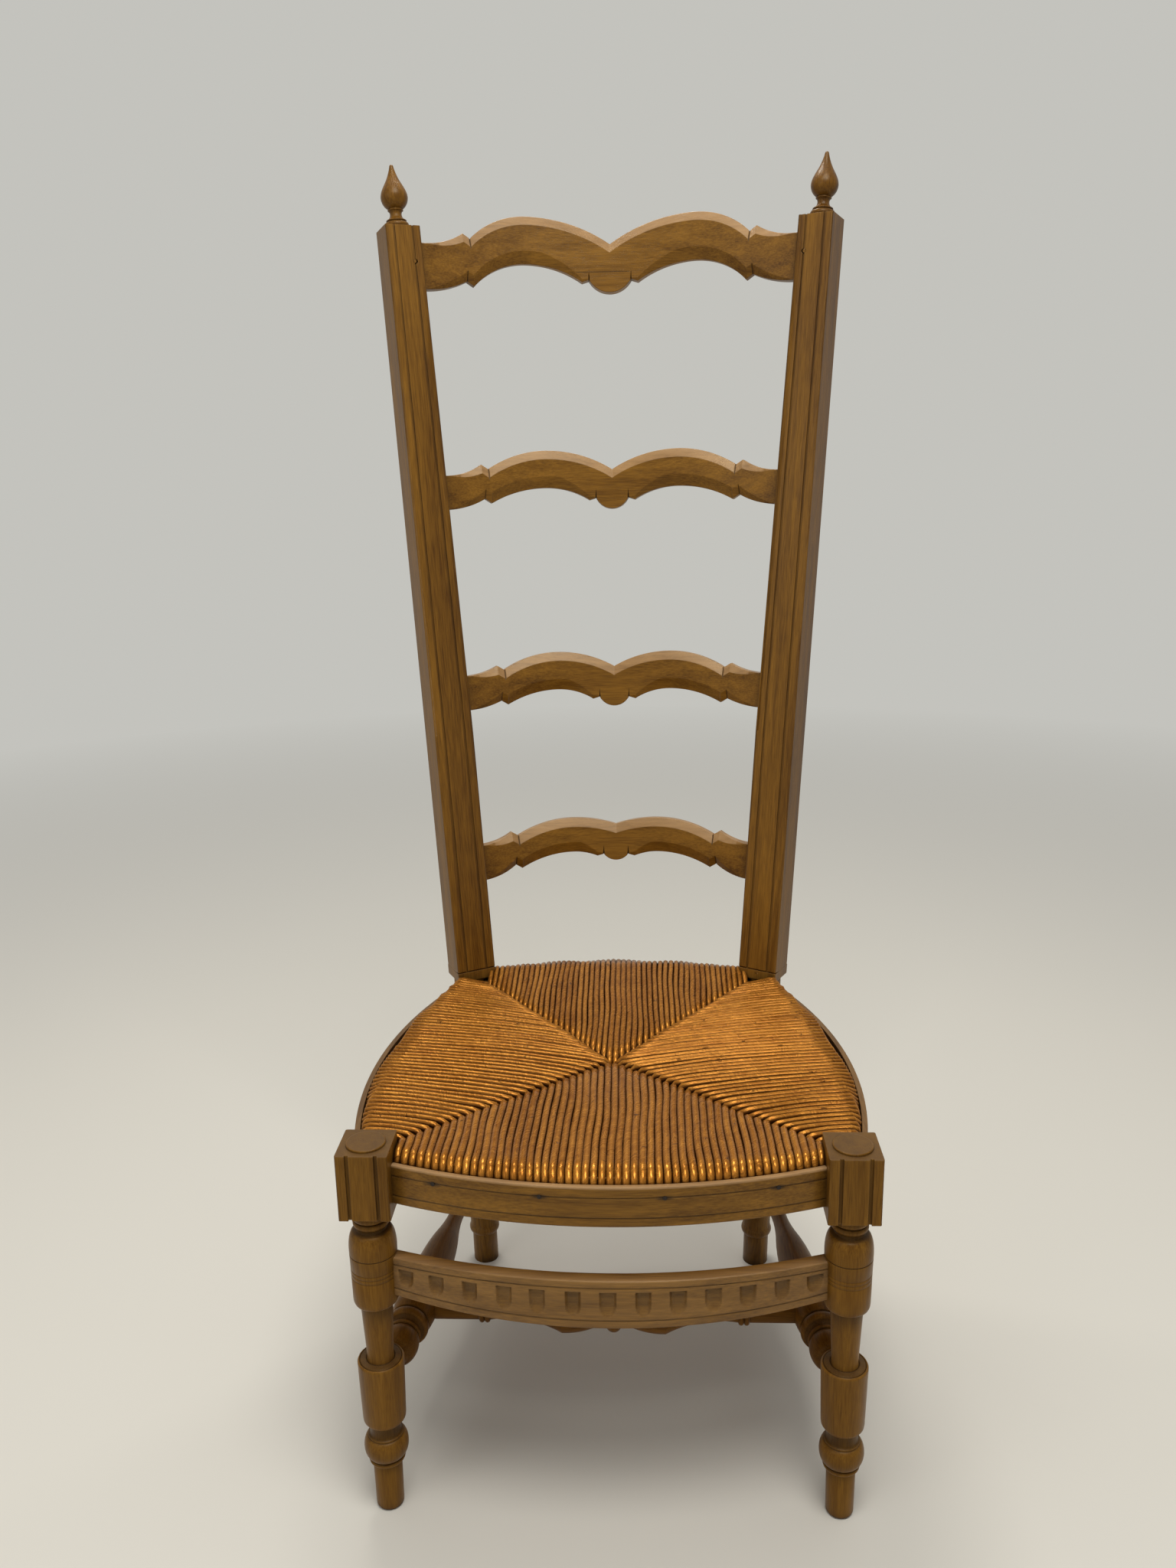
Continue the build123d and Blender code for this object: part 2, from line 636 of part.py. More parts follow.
apron_nails = []
for reach in apron_nail_reaches:
    point = (reach, apron_end_y - front_bow)
    frame = nail_frame(front_center, front_radius, point, apron_top - apron_nail_drop)
    apron_nails += both_sides(frame * nail)
    for hole in both_sides(frame * nail_hole):
        apron -= hole
        rush -= hole
        front_rail -= hole
edging_nails = []
for setback in edging_nail_setbacks:
    reach = side_center[0] + sqrt(side_radius**2 - (setback - side_center[1]) ** 2)
    frame = nail_frame(side_center, side_radius, (reach, setback), (edging_low + edging_top) / 2)
    edging_nails += both_sides(frame * nail)
    edging -= frame * nail_hole
    side_rail -= frame * nail_hole
    for hole in both_sides(frame * nail_hole):
        rush -= hole


# Front stretcher: bowed board with two scribed lines and a row of gouge cuts
front_stretcher_top = shoulder_z - front_stretcher_drop
board_low = front_stretcher_top - front_stretcher_height
board_radius = arc_radius(half_spacing, front_stretcher_bow)
board_face_radius = board_radius + front_stretcher_thickness / 2
board_center = (0, board_radius - front_stretcher_bow)
board = bent_bar(board_center, board_face_radius, front_stretcher_thickness, board_low, front_stretcher_top)
for line_z in (front_stretcher_top - board_line_inset, board_low + board_line_inset):
    line_low = line_z - board_line_width / 2
    line_high = line_low + board_line_width
    board -= bent_bar(board_center, board_face_radius, board_line_depth, line_low, line_high)
board &= slab(-half_spacing, half_spacing, -near, near)
for tool in both_sides(Pos(half_spacing, 0, 0) * Cylinder(drum_radius + coping, far)):
    board -= tool
flute_radius = (flute_width**2 / 4 + flute_depth**2) / (2 * flute_depth)
flute_slant = degrees(atan2(flute_depth, flute_height))
flute_top = front_stretcher_top - flute_drop
gouge = Cylinder(flute_radius, 2 * flute_height, align=downwards)
for index in range(flute_count):
    bearing = (index - (flute_count - 1) / 2) * flute_pitch / board_face_radius
    foot_x = board_face_radius * sin(bearing)
    foot_y = board_center[1] - board_face_radius * cos(bearing)
    flute_frame = Pos(foot_x, foot_y, flute_top) * Rot(0, 0, degrees(bearing))
    board -= flute_frame * Pos(0, flute_depth - flute_radius, 0) * Rot(-flute_slant, 0, 0) * gouge
tenon_low = (board_low + front_stretcher_top - front_stretcher_tenon_height) / 2
tenon_radius = board_radius + front_stretcher_tenon_thickness / 2
tenon_x = half_spacing - drum_radius + front_stretcher_tenon_length
tenon_high = tenon_low + front_stretcher_tenon_height
tenon_ring = bent_bar(board_center, tenon_radius, front_stretcher_tenon_thickness, tenon_low, tenon_high)
mortise_width = front_stretcher_tenon_thickness + 2 * fit
mortise_ring = bent_bar(board_center, tenon_radius + fit, mortise_width, tenon_low - fit, tenon_high + fit)
board_start = half_spacing - drum_radius - front_stretcher_tenon_length
for tenon in both_sides(tenon_ring & slab(board_start, tenon_x, -near, near)):
    board += tenon
front_leg -= mortise_ring & slab(0, tenon_x + fit, -near, near)


# Side stretcher, right: ball, collar, long belly and a vase neck that thins towards the rear leg
front_joint = Vector(half_spacing, 0, stretcher_height)
rear_joint = leg_axis(stretcher_height)
side_frame = Plane(origin=front_joint, z_dir=rear_joint - front_joint)
side_length = (rear_joint - front_joint).length
tenon_bore = stretcher_tenon_diameter / 2
neck_r = stretcher_neck_diameter / 2
ball_start = drum_radius + edge_round
ball_end = ball_start + side_ball_length
collar_end = ball_end + side_collar_length
belly_start = collar_end + side_collar_length
belly_end = belly_start + side_belly_length
vase_end = belly_end + side_vase_length
belly_r = side_belly_diameter / 2
collar_r = side_collar_diameter / 2
waist_r = side_waist_diameter / 2
side_turning = turned([
    (drum_radius / 2, neck_r, 0),
    (ball_start, neck_r, 0),
    (ball_end, neck_r, side_ball_diameter / 2 - neck_r),
    (ball_end, collar_r - edge_round, 0),
    (collar_end, collar_r - edge_round, edge_round),
    (belly_start, collar_r - 2 * edge_round, -edge_round),
    (belly_end, belly_r - edge_round, edge_round),
    (vase_end, waist_r, -edge_round * 4),
    (side_length, side_rear_diameter / 2, 0),
])
side_turning = side_frame * side_turning
side_turning -= Pos(half_spacing, 0, 0) * Cylinder(drum_radius + coping, far)
side_turning -= leg_frame * Cylinder(shaft_radius + coping, far)
side_tenon_from = drum_radius - stretcher_tenon_length
side_tenon_to = side_length - shaft_radius + stretcher_tenon_length
long_tenon = Cylinder(tenon_bore, side_tenon_to - side_tenon_from, align=upwards)
side_stretcher = side_turning + side_frame * Pos(0, 0, side_tenon_from) * long_tenon
bore_length = side_tenon_to - side_tenon_from + 2 * fit
long_bore = Cylinder(tenon_bore + fit, bore_length, align=upwards)
side_bore = side_frame * Pos(0, 0, side_tenon_from - fit) * long_bore
front_leg -= side_bore
rear_post -= side_bore


# Cross stretcher between the two side stretchers
share = (cross_setback - front_joint.Y) / (rear_joint.Y - front_joint.Y)
cross_joint = front_joint + (rear_joint - front_joint) * share
cross_half = cross_joint.X
cross_end = cross_end_diameter / 2
ring_rise = (cross_ring_diameter - cross_end_diameter) / 2
cross_waist = cross_waist_diameter / 2
bead_half = cross_bead_length / 2
half_stations = [
    (bead_half, cross_waist, 0),
    (cross_belly_reach, cross_belly_diameter / 2, ring_rise),
    (cross_ring_reach - cross_ring_length, cross_end, -2 * ring_rise),
    (cross_ring_reach, cross_end, ring_rise),
    (cross_ring_reach + cross_ring_length, cross_end, ring_rise),
    (cross_half, cross_end, 0),
]
rises = [0] + [rise for _, _, rise in reversed(half_stations[1:])]
left_stations = [(-along, radius, rise) for (along, radius, _), rise in zip(reversed(half_stations), rises)]
bead = (bead_half, cross_waist, cross_bead_diameter / 2 - cross_waist)
cross_frame = Plane(origin=(0, cross_joint.Y, cross_joint.Z), z_dir=(1, 0, 0))
cross_turning = cross_frame * turned(left_stations + [bead] + half_stations[1:])
belly_tools = both_sides(side_frame * Cylinder(belly_r + coping, far))
for tool in belly_tools:
    cross_turning -= tool
cross_tenon_half = cross_half - belly_r + stretcher_tenon_length
cross_tenon = cross_frame * Cylinder(tenon_bore, 2 * cross_tenon_half)
cross_bore = cross_frame * Cylinder(tenon_bore + fit, 2 * (cross_tenon_half + fit))
cross_stretcher = cross_turning + cross_tenon
side_stretcher -= cross_bore


# Every piece by name; handed pieces are made once and mirrored
handed = {
    "front_leg": front_leg,
    "rear_post": rear_post,
    "finial": finial,
    "side_seat_rail": side_rail,
    "side_edging": edging,
    "side_stretcher": side_stretcher,
}
for name, shape in handed.items():
    nodes[name + "_right"], nodes[name + "_left"] = both_sides(shape)
nodes["front_seat_rail"] = front_rail
nodes["rear_seat_rail"] = rear_rail
nodes["front_apron"] = apron
nodes["rush_seat"] = rush
nodes["front_stretcher"] = board
nodes["cross_stretcher"] = cross_stretcher
nodes["apron_nails"] = Compound(children=list(apron_nails))
nodes["edging_nails"] = Compound(children=list(edging_nails))
nodes["crest_pins"] = Compound(children=list(both_sides(crest_pin)))

# The origin lies on the floor under the middle of the chair's depth
boxes = [shape.bounding_box() for shape in nodes.values()]
middle = (min(box.min.Y for box in boxes) + max(box.max.Y for box in boxes)) / 2
os.makedirs("parts", exist_ok=True)
for name, shape in nodes.items():
    export_step(Pos(0, -middle, 0) * shape, f"parts/{name}.step")
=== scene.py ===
import math
import random

import bpy
import numpy as np
from mathutils import Matrix, Vector


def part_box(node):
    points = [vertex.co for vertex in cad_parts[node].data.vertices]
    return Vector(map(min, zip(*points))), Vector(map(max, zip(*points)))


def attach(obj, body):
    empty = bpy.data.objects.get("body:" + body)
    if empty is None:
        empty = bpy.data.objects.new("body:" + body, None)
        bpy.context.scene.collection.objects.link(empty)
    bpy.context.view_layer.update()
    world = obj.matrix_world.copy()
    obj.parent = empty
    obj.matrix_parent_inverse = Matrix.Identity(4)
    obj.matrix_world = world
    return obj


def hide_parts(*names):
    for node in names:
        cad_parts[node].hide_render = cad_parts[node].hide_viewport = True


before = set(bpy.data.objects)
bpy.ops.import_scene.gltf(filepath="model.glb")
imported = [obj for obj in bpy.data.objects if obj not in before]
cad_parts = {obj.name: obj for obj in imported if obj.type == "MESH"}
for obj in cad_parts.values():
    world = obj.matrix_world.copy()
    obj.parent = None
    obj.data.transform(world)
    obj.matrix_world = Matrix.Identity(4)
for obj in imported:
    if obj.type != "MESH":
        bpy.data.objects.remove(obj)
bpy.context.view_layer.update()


# Front legs: each turned from one billet of honey-coloured fruitwood, with a square block left at seat
# height for the rails; stained and waxed, rubbed paler on its edges, and dark in its quirks and coves
# with grime and painted shade.
class Shade:
    """A value that varies over a surface; arithmetic on it adds Math nodes to its material."""

    def __init__(self, tree, socket=None):
        self.tree = tree
        self.socket = socket

    def node(self, kind, settings=None, sockets=None, output=0):
        """Adds a node with these settings and fills its sockets with numbers, colours or shades."""
        made = self.tree.nodes.new(kind)
        for name, value in (settings or {}).items():
            setattr(made, name, value)
        for name, value in (sockets or {}).items():
            if isinstance(value, Shade):
                self.tree.links.new(value.socket, made.inputs[name])
            else:
                made.inputs[name].default_value = value
        return Shade(self.tree, made.outputs[output] if made.outputs else None)

    def math(self, operation, *values):
        return self.node("ShaderNodeMath", {"operation": operation}, dict(enumerate(values)))

    def clamped(self):
        return self.node("ShaderNodeClamp", None, {0: self})

    def stretch(self, *scale):
        """This vector with each of its parts multiplied."""
        return self.node("ShaderNodeVectorMath", {"operation": "MULTIPLY"}, {0: self, 1: scale})

    def noise(self, scale, detail=2.0, roughness=0.5, distortion=0.0):
        """Soft noise over this vector."""
        sockets = {"Vector": self, "Scale": scale, "Detail": detail}
        sockets |= {"Roughness": roughness, "Distortion": distortion}
        return self.node("ShaderNodeTexNoise", None, sockets)

    def blend(self, first, second):
        """From the first colour to the second as this value goes from 0 to 1."""
        settings = {"data_type": "RGBA", "clamp_factor": True}
        # The sockets of a Mix node share their names, so they go by number.
        return self.node("ShaderNodeMix", settings, {0: self, 6: first, 7: second}, 2)

    def __add__(self, other):
        return self.math("ADD", self, other)

    def __sub__(self, other):
        return self.math("SUBTRACT", self, other)

    def __rsub__(self, other):
        return self.math("SUBTRACT", other, self)

    def __mul__(self, other):
        return self.math("MULTIPLY", self, other)

    def __pow__(self, other):
        return self.math("POWER", self, other)

    __radd__ = __add__
    __rmul__ = __mul__


def new_finish(name):
    """An empty material and a shade to start its nodes from."""
    material = bpy.data.materials.new(name)
    material.use_nodes = True
    material.node_tree.nodes.clear()
    return material, Shade(material.node_tree)


def apply_finish(start, colour, roughness, normal, **constants):
    """Ends a material in a Principled shader."""
    sockets = {"Base Color": colour, "Roughness": roughness, "Normal": normal}
    sockets |= {name.replace("_", " "): value for name, value in constants.items()}
    shader = start.node("ShaderNodeBsdfPrincipled", None, sockets)
    start.node("ShaderNodeOutputMaterial", None, {"Surface": shader})


pore_brown, stain_brown = (0.035, 0.013, 0.003, 1), (0.06, 0.022, 0.004, 1)
shade_grime_black, line_and_shade_black = (0.014, 0.006, 0.002, 1), (0.012, 0.005, 0.002, 1)
dust_grey, bare_wood_and_highlight = (0.075, 0.045, 0.022, 1), (0.42, 0.265, 0.135, 1)
worn_gold, wax_tint = (0.30, 0.150, 0.042, 1), (1, 0.88, 0.68, 1)


def waxed_wood(name, heart, sap, turn=(0, 0, 0), sheen=0.3, edge_round=0.0011, dusty=0.0):
    """Waxed old wood; `turn` lays the grain, which runs up Z, along the piece; lengths are in metres."""
    material, start = new_finish(name)
    place = start.node("ShaderNodeTexCoord", None, None, "Object")
    place = start.node("ShaderNodeMapping", None, {"Vector": place, "Rotation": turn})
    along = place.stretch(1, 1, 0.045)
    drift = along.noise(18, 2, 0.5, 0.8)
    streak = along.noise(130, 4, 0.6, 0.4)
    fine = along.noise(950, 2)
    pores = place.stretch(1, 1, 0.03).noise(2100, 1)
    tone = (drift * 1.1 + streak * 1.4 + fine * 1.2 - 1.35).clamped()
    fleck = ((pores - 0.62) * 8).clamped()
    stain = ((place.noise(34, 3, 0.6) - 0.56) * 5).clamped()
    # Painted shade: ambient occlusion darkens hollows and the places between parts, with some grime there
    # too.
    shelter = start.node("ShaderNodeAmbientOcclusion", {"samples": 6}, {"Distance": 0.010}, "AO")
    shade_and_grime = ((1 - shelter) ** 1.3).clamped()
    facing = start.node("ShaderNodeNewGeometry", None, None, "Normal")
    upward = start.node("ShaderNodeSeparateXYZ", None, {"Vector": facing}, "Z")
    level = ((upward - 0.8) * 5).clamped()
    # This attribute paints worn edges paler, and on the slats' top chamfers adds a painted highlight of
    # light from above.
    wear_and_highlight = start.node("ShaderNodeAttribute", {"attribute_name": "wear_and_highlight"}, None, "Fac")
    # The line attribute darkens scribed lines, kerfs, cracks and rust, and also carries painted shade in
    # the quirks and coves of turnings and in the gouge cuts.
    line = start.node("ShaderNodeAttribute", {"attribute_name": "line"}, None, "Fac")
    inside = {"samples": 6, "inside": True, "only_local": True}
    edge = start.node("ShaderNodeAmbientOcclusion", inside, {"Distance": 0.0025}, "AO")
    worn = ((0.88 - edge) * (0.3 + drift * 1.2)).clamped()
    colour = tone.blend(heart, sap)
    for cover, tint in (
        (fleck * 0.4, pore_brown),
        (stain * 0.2, stain_brown),
        (shade_and_grime * 0.9, shade_grime_black),
        (level * dusty, dust_grey),
        (wear_and_highlight * (0.25 + streak * 0.7), bare_wood_and_highlight),
        (line * 0.85, line_and_shade_black),
        (worn * 0.32, worn_gold),
    ):
        colour = cover.blend(colour, tint)
    roughness = streak * 0.16 + shade_and_grime * 0.3 + 0.27
    rounded = start.node("ShaderNodeBevel", {"samples": 4}, {"Radius": edge_round})
    relief = streak * 0.5 + fine * 0.5 - fleck * 0.6
    sockets = {"Strength": 0.22, "Distance": 0.0005, "Height": relief, "Normal": rounded}
    normal = start.node("ShaderNodeBump", None, sockets)
    apply_finish(start, colour, roughness, normal, Specular_IOR_Level=sheen, Specular_Tint=wax_tint)
    return material


mm = 0.001
weld = 0.01 * mm               # points closer than this are made one
lathe_turns = 72               # facets round a turned piece
scribe_half, band_edge = 0.6, 0.05


def lathe(name, profile, shade_and_scribe_bands=()):
    """Turns a profile of (radius, height) points, in millimetres, about Z.

    A band darkens the points between two heights: (low, high, dark). The bands paint shade into quirks and
    coves and darken scribed lines.
    """
    bpy.ops.object.select_all(action="DESELECT")
    bpy.ops.mesh.primitive_circle_add(vertices=len(profile), fill_type="NOTHING")
    piece = bpy.context.object
    piece.name = piece.data.name = name
    for vertex, (radius, height) in zip(piece.data.vertices, profile):
        vertex.co = (radius * mm, 0, height * mm)
    for element in (*piece.data.vertices, *piece.data.edges):
        element.select = False
    for edge in piece.data.edges:
        edge.select = sorted(edge.vertices) == [0, len(profile) - 1]
    bpy.ops.object.mode_set(mode="EDIT")
    bpy.ops.mesh.select_mode(type="EDGE")
    bpy.ops.mesh.delete(type="EDGE")
    bpy.ops.mesh.select_mode(type="VERT")
    bpy.ops.mesh.select_all(action="SELECT")
    bpy.ops.mesh.spin(steps=lathe_turns, angle=math.tau, center=(0, 0, 0), axis=(0, 0, 1))
    bpy.ops.mesh.select_all(action="SELECT")
    bpy.ops.mesh.remove_doubles(threshold=weld)
    bpy.ops.mesh.normals_make_consistent(inside=False)
    bpy.ops.object.mode_set(mode="OBJECT")
    bpy.ops.object.shade_smooth_by_angle(angle=math.radians(40))
    marks = []
    for vertex in piece.data.vertices:
        height = vertex.co.z / mm
        darks = [line_and_shade for low, high, line_and_shade in shade_and_scribe_bands if low - band_edge < height < high + band_edge]
        marks.append(max(darks, default=0.0))
    piece.data.attributes.new("line", "FLOAT", "POINT").data.foreach_set("value", marks)
    return piece


def swelled(low_radius, low, high_radius, high, swell, steps=10):
    """Profile points of a bead between two heights, or of a hollow where the swell is negative."""
    points = []
    for step in range(steps + 1):
        angle = math.pi * step / steps
        share = (1 - math.cos(angle)) / 2
        radius = low_radius + (high_radius - low_radius) * share + swell * math.sin(angle)
        points.append((radius, low + (high - low) * share))
    return points


def scribed(radius, height, deep=0.6):
    """Profile points of a line cut into a turning."""
    return [(radius, height - scribe_half), (radius - deep, height), (radius, height + scribe_half)]


def frame_copy(name, node):
    """A copy of a piece of the frame, its facets welded, bare of finish and open in edit mode."""
    piece = bpy.data.objects.new(name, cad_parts[node].data.copy())
    piece.data.materials.clear()
    bpy.context.scene.collection.objects.link(piece)
    bpy.ops.object.select_all(action="DESELECT")
    piece.select_set(True)
    bpy.context.view_layer.objects.active = piece
    bpy.ops.object.mode_set(mode="EDIT")
    bpy.ops.mesh.select_all(action="SELECT")
    bpy.ops.mesh.remove_doubles(threshold=weld)
    return piece


def join(pieces, name):
    bpy.ops.object.select_all(action="DESELECT")
    for piece in pieces:
        piece.select_set(True)
    bpy.context.view_layer.objects.active = pieces[0]
    bpy.ops.object.join()
    pieces[0].name = pieces[0].data.name = name
    return pieces[0]


leg_low, leg_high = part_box("front_leg_right")
chair_front = (leg_low.y + leg_high.y) / 2
leg_spread, block_foot = 193.0, 288.6
honey_heart, honey_sap = (0.078, 0.029, 0.0025, 1), (0.250, 0.115, 0.013, 1)
leg_heart, leg_sap = (0.102, 0.041, 0.004, 1), (0.232, 0.107, 0.0125, 1)
leg_wood = waxed_wood("leg_wood", leg_heart, leg_sap, sheen=0.18, dusty=0.55)
foot = [(0, 0), (9.2, 0), (10.8, 0.8), (11.6, 2.2), (11.8, 4.0), (12.3, 44.6), (11.8, 46.0)]
ankle = swelled(13.2, 46.4, 13.4, 50.4, 2.2, 8) + [(12.5, 51.1)]
ankle += swelled(14.2, 51.8, 14.0, 72.0, 4.7, 14) + [(14.9, 72.4), (14.9, 73.4)]
ankle += swelled(13.7, 74.0, 13.9, 85.8, -0.9, 8)
lower_drum = [(15.6, 86.2), (16.9, 87.0), (17.8, 88.4), (18.1, 90.4), (18.8, 116.0), (19.4, 144.0)]
lower_drum += [(19.4, 145.2), (18.9, 146.2), (18.1, 146.6), (17.4, 145.7), (16.8, 146.7)]
lower_drum += [(12.4, 147.4), (11.7, 146.8)]
stem = [(11.0, 148.0), (11.5, 162.0), (12.5, 182.0), (13.5, 202.2)]
upper_drum = [(16.6, 202.6), (17.8, 203.4), (18.5, 205.0), (18.8, 207.8)]
upper_drum += scribed(19.1, 228.6, 0.3) + scribed(19.15, 232.4, 0.3) + scribed(19.2, 235.8, 0.3)
upper_drum += scribed(19.5, 249.0)
dome_low, dome_high, dome_neck, dome_swell = 253.0, 17.0, 13.6, 6.0
dome = []
for angle in np.radians(np.arange(0, 91, 9)):
    radius = dome_neck + dome_swell * math.cos(angle) ** 0.75
    dome.append((radius, dome_low + dome_high * math.sin(angle)))
collars = swelled(12.6, 270.4, 12.8, 274.2, -0.5, 6) + swelled(13.6, 274.6, 13.4, 279.4, 1.5, 8)
collars += [(11.9, 279.9)] + swelled(13.9, 280.5, 13.6, 287.6, 1.7, 10)
collars += [(12.6, 288.2), (12.6, 292.0), (0, 292.0)]
leg_profile = foot + ankle + lower_drum + stem + upper_drum + dome + collars
for side, across, faint in (("left", -1, 0.4), ("right", 1, 0.1)):
    # Painted shade in the quirks and coves under beads and drums, and the darker scribed lines, fainter on
    # the right leg.
    shade_and_scribe_bands = [(46.0, 46.4, 0.5), (51.1, 51.1, 1), (51.8, 73.4, 0.12), (74.0, 85.8, 0.6)]
    shade_and_scribe_bands += [(145.7, 145.7, 0.9), (146.65, 147.4, 0.25), (146.8, 146.8, 0.9), (202.2, 202.6, 0.5)]
    shade_and_scribe_bands += [(line, line, faint) for line in (228.6, 232.4, 235.8)]
    shade_and_scribe_bands += [(249.0, 249.0, 0.9), (270.1, 274.2, 0.6), (279.9, 279.9, 1), (288.2, 289.0, 0.7)]
    leg = lathe(f"front_leg_turned_{side}", leg_profile, shade_and_scribe_bands)
    leg.data.transform(Matrix.Translation((across * leg_spread * mm, chair_front, 0)))
    block = frame_copy("leg_block", f"front_leg_{side}")
    cut = {"plane_co": (0, 0, block_foot * mm), "plane_no": (0, 0, 1)}
    bpy.ops.mesh.bisect(**cut, use_fill=True, clear_inner=True)
    bpy.ops.mesh.select_all(action="SELECT")
    bpy.ops.mesh.normals_make_consistent(inside=False)
    bpy.ops.object.mode_set(mode="OBJECT")
    bpy.ops.object.shade_flat()
    leg = join([leg, block], f"front_leg_turned_{side}")
    leg.data.materials.append(leg_wood)
    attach(leg, "root")
    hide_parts(f"front_leg_{side}")


# Rear posts and finials: each post, of the same fruitwood, is turned below the seat and square above
# it, leaning back and outwards, with two lines scratched down its front; a turned finial is dowelled
# into its top.
post_turn, post_rake, post_flare = math.radians(29), math.radians(5.7), math.radians(3.7)
post_half, post_deep, post_length = 17.0, 32.0, 761.0
knee_x, knee_y, knee_z = 160.0, 358.0, 343.0
seat_widening, top_widening = 8.3, 1.5
even_height, post_height = 600.0, 1045.0
heel_up, heel_down, heel_proud, heel_round = 4.5, 6.0, 0.02, 1.2
finial_heart, finial_sap = (0.070, 0.025, 0.0018, 1), (0.215, 0.096, 0.0095, 1)
finial_sheen, finial_round = 0.28, 0.4 * mm


def widening(height):
    """How much wider than in the frame a post's front face is, towards the chair's middle."""
    share = min(1, max(0, (height - even_height) / (post_height - even_height)))
    return seat_widening + (top_widening - seat_widening) * share


def tapered_post(name, node, knee, aim, lean):
    """A post copied from the frame, its square part widened inwards, more towards the seat."""
    piece = frame_copy(name, node)
    bpy.ops.mesh.bisect(plane_co=(0, 0, even_height * mm), plane_no=(0, 0, 1))
    bpy.ops.object.mode_set(mode="OBJECT")
    inward = Vector((lean * math.cos(post_turn), math.sin(post_turn), 0))
    for vertex in piece.data.vertices:
        along = (vertex.co - knee).dot(aim)
        if along > -1 * mm:
            share = ((vertex.co - knee - aim * along).dot(inward) / mm + post_half) / (2 * post_half)
            vertex.co += inward * (widening(vertex.co.z / mm) * max(0, share) * mm)
    bpy.ops.object.shade_smooth_by_angle(angle=math.radians(30))
    for face in piece.data.polygons:
        face.use_smooth = face.center.z < knee.z - heel_down * mm
    return piece


def square_heel(name, knee, aim, lean):
    """The square foot of a post's upper part, sawn off just under the rush."""
    bpy.ops.object.select_all(action="DESELECT")
    bpy.ops.mesh.primitive_cube_add(size=1)
    piece = bpy.context.object
    piece.name = piece.data.name = name
    place = Matrix.Translation(knee) @ Matrix.Rotation(post_turn * lean, 4, "Z")
    wide, deep = 2 * (post_half + heel_proud), post_deep + 2 * heel_proud
    for vertex in piece.data.vertices:
        wider = seat_widening * lean if vertex.co.x * lean > 0 else 0
        corner = place @ Vector(((vertex.co.x * wide + wider) * mm, vertex.co.y * deep * mm, 0))
        vertex.co = corner + aim * ((heel_up if vertex.co.z > 0 else -heel_down) * mm)
    sole = (knee - aim * (heel_down / 2 * mm)).z
    for element in (*piece.data.vertices, *piece.data.edges, *piece.data.polygons):
        element.select = False
    for edge in piece.data.edges:
        edge.select = all(piece.data.vertices[index].co.z < sole for index in edge.vertices)
    bpy.ops.object.mode_set(mode="EDIT")
    bpy.ops.mesh.select_mode(type="EDGE")
    bpy.ops.mesh.bevel(offset=heel_round * mm, segments=2, affect="EDGES")
    bpy.ops.mesh.select_all(action="SELECT")
    bpy.ops.mesh.normals_make_consistent(inside=False)
    bpy.ops.object.mode_set(mode="OBJECT")
    return piece


def stood(place, aim):
    """Where a turning goes that stands at a place and points along an aim."""
    return Matrix.Translation(place) @ aim.to_track_quat("Z", "Y").to_matrix().to_4x4()


finial_dowel = [(0, -6), (5, -6), (5, 0)]
finial_base = [(10.6, 0), (11.6, 0.8), (12.1, 2), (12.1, 3.6), (11.6, 4.8), (10.6, 5.6), (9.2, 5.9)]
finial_base += [(9.2, 6.4), (9.9, 6.8), (10.1, 7.3), (9.9, 7.8), (9.0, 8.2)]
finial_neck = [(7.4, 9.4), (6.3, 11), (5.8, 12.8), (5.8, 14.4), (6.2, 15.8), (7.0, 16.8)]
finial_bead = [(7.6, 17.1), (7.7, 17.7), (7.4, 18.2), (7.0, 18.5)]
finial_flame = [(8.6, 19.6), (10.6, 21.6), (12.2, 24.2), (13.1, 27), (13.4, 29.5), (13.1, 32), (12.2, 35)]
finial_flame += [(10.6, 38.4), (8.7, 41.8), (6.8, 45.2), (5.2, 48.6), (3.9, 52), (2.9, 55), (2.2, 57.6)]
finial_tip = [(1.9, 59), (1.6, 59.7), (0.9, 60.1), (0, 60.2)]
finial_profile = finial_dowel + finial_base + finial_neck + finial_bead + finial_flame + finial_tip
for side, lean in (("left", 1), ("right", -1)):
    turn = (post_rake, post_flare * lean, 0)
    post_wood = waxed_wood(f"post_wood_{side}", honey_heart, honey_sap, turn)
    aim = Vector((-lean * math.tan(post_flare), math.tan(post_rake), 1)).normalized()
    knee = Vector((-lean * knee_x * mm, chair_front + knee_y * mm, knee_z * mm))
    post = tapered_post(f"back_post_{side}", f"rear_post_{side}", knee, aim, lean)
    post.data.materials.append(post_wood)
    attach(post, "root")
    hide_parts(f"rear_post_{side}")
    finish = waxed_wood(f"finial_wood_{side}", finial_heart, finial_sap, turn, finial_sheen, finial_round)
    finial = lathe(f"finial_turning_{side}", finial_profile)
    finial.data.transform(stood(knee + aim * (post_length * mm), aim))
    finial.data.materials.append(finish)
    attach(finial, "root")
    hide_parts(f"finial_{side}")
    heel = square_heel(f"post_heel_{side}", knee, aim, lean)
    heel.data.materials.append(post_wood)
    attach(heel, "root")


# Back slats: sawn to a double-humped outline from bowed fruitwood boards and tenoned into the posts,
# their front edges cut to broad chamfers; two wooden pins hold the crest.
grain_across = (0, math.radians(90), 0)
slat_wood = waxed_wood("slat_wood", honey_heart, honey_sap, grain_across)
slat_thick, slat_round = 12.0, 1.2
notch_long, notch_deep, heel_set, nib_deep = 7.0, 4.5, 3.5, 2.2
arris, top_chamfer, low_chamfer, heel_chamfer = 0.5, 9.0, 11.5, 9.0
top_slope, low_slope = 0.5, 0.45
kerf_half, outline_step = 1.0, 1.5
low_kerf, low_kerf_least, low_kerf_extra = 9.5, 1.2, 0.9
top_kerf, top_kerf_in = 11.0, 6.4
seam_rise, seam_half, seam_least = 9.5, 0.75, 0.3


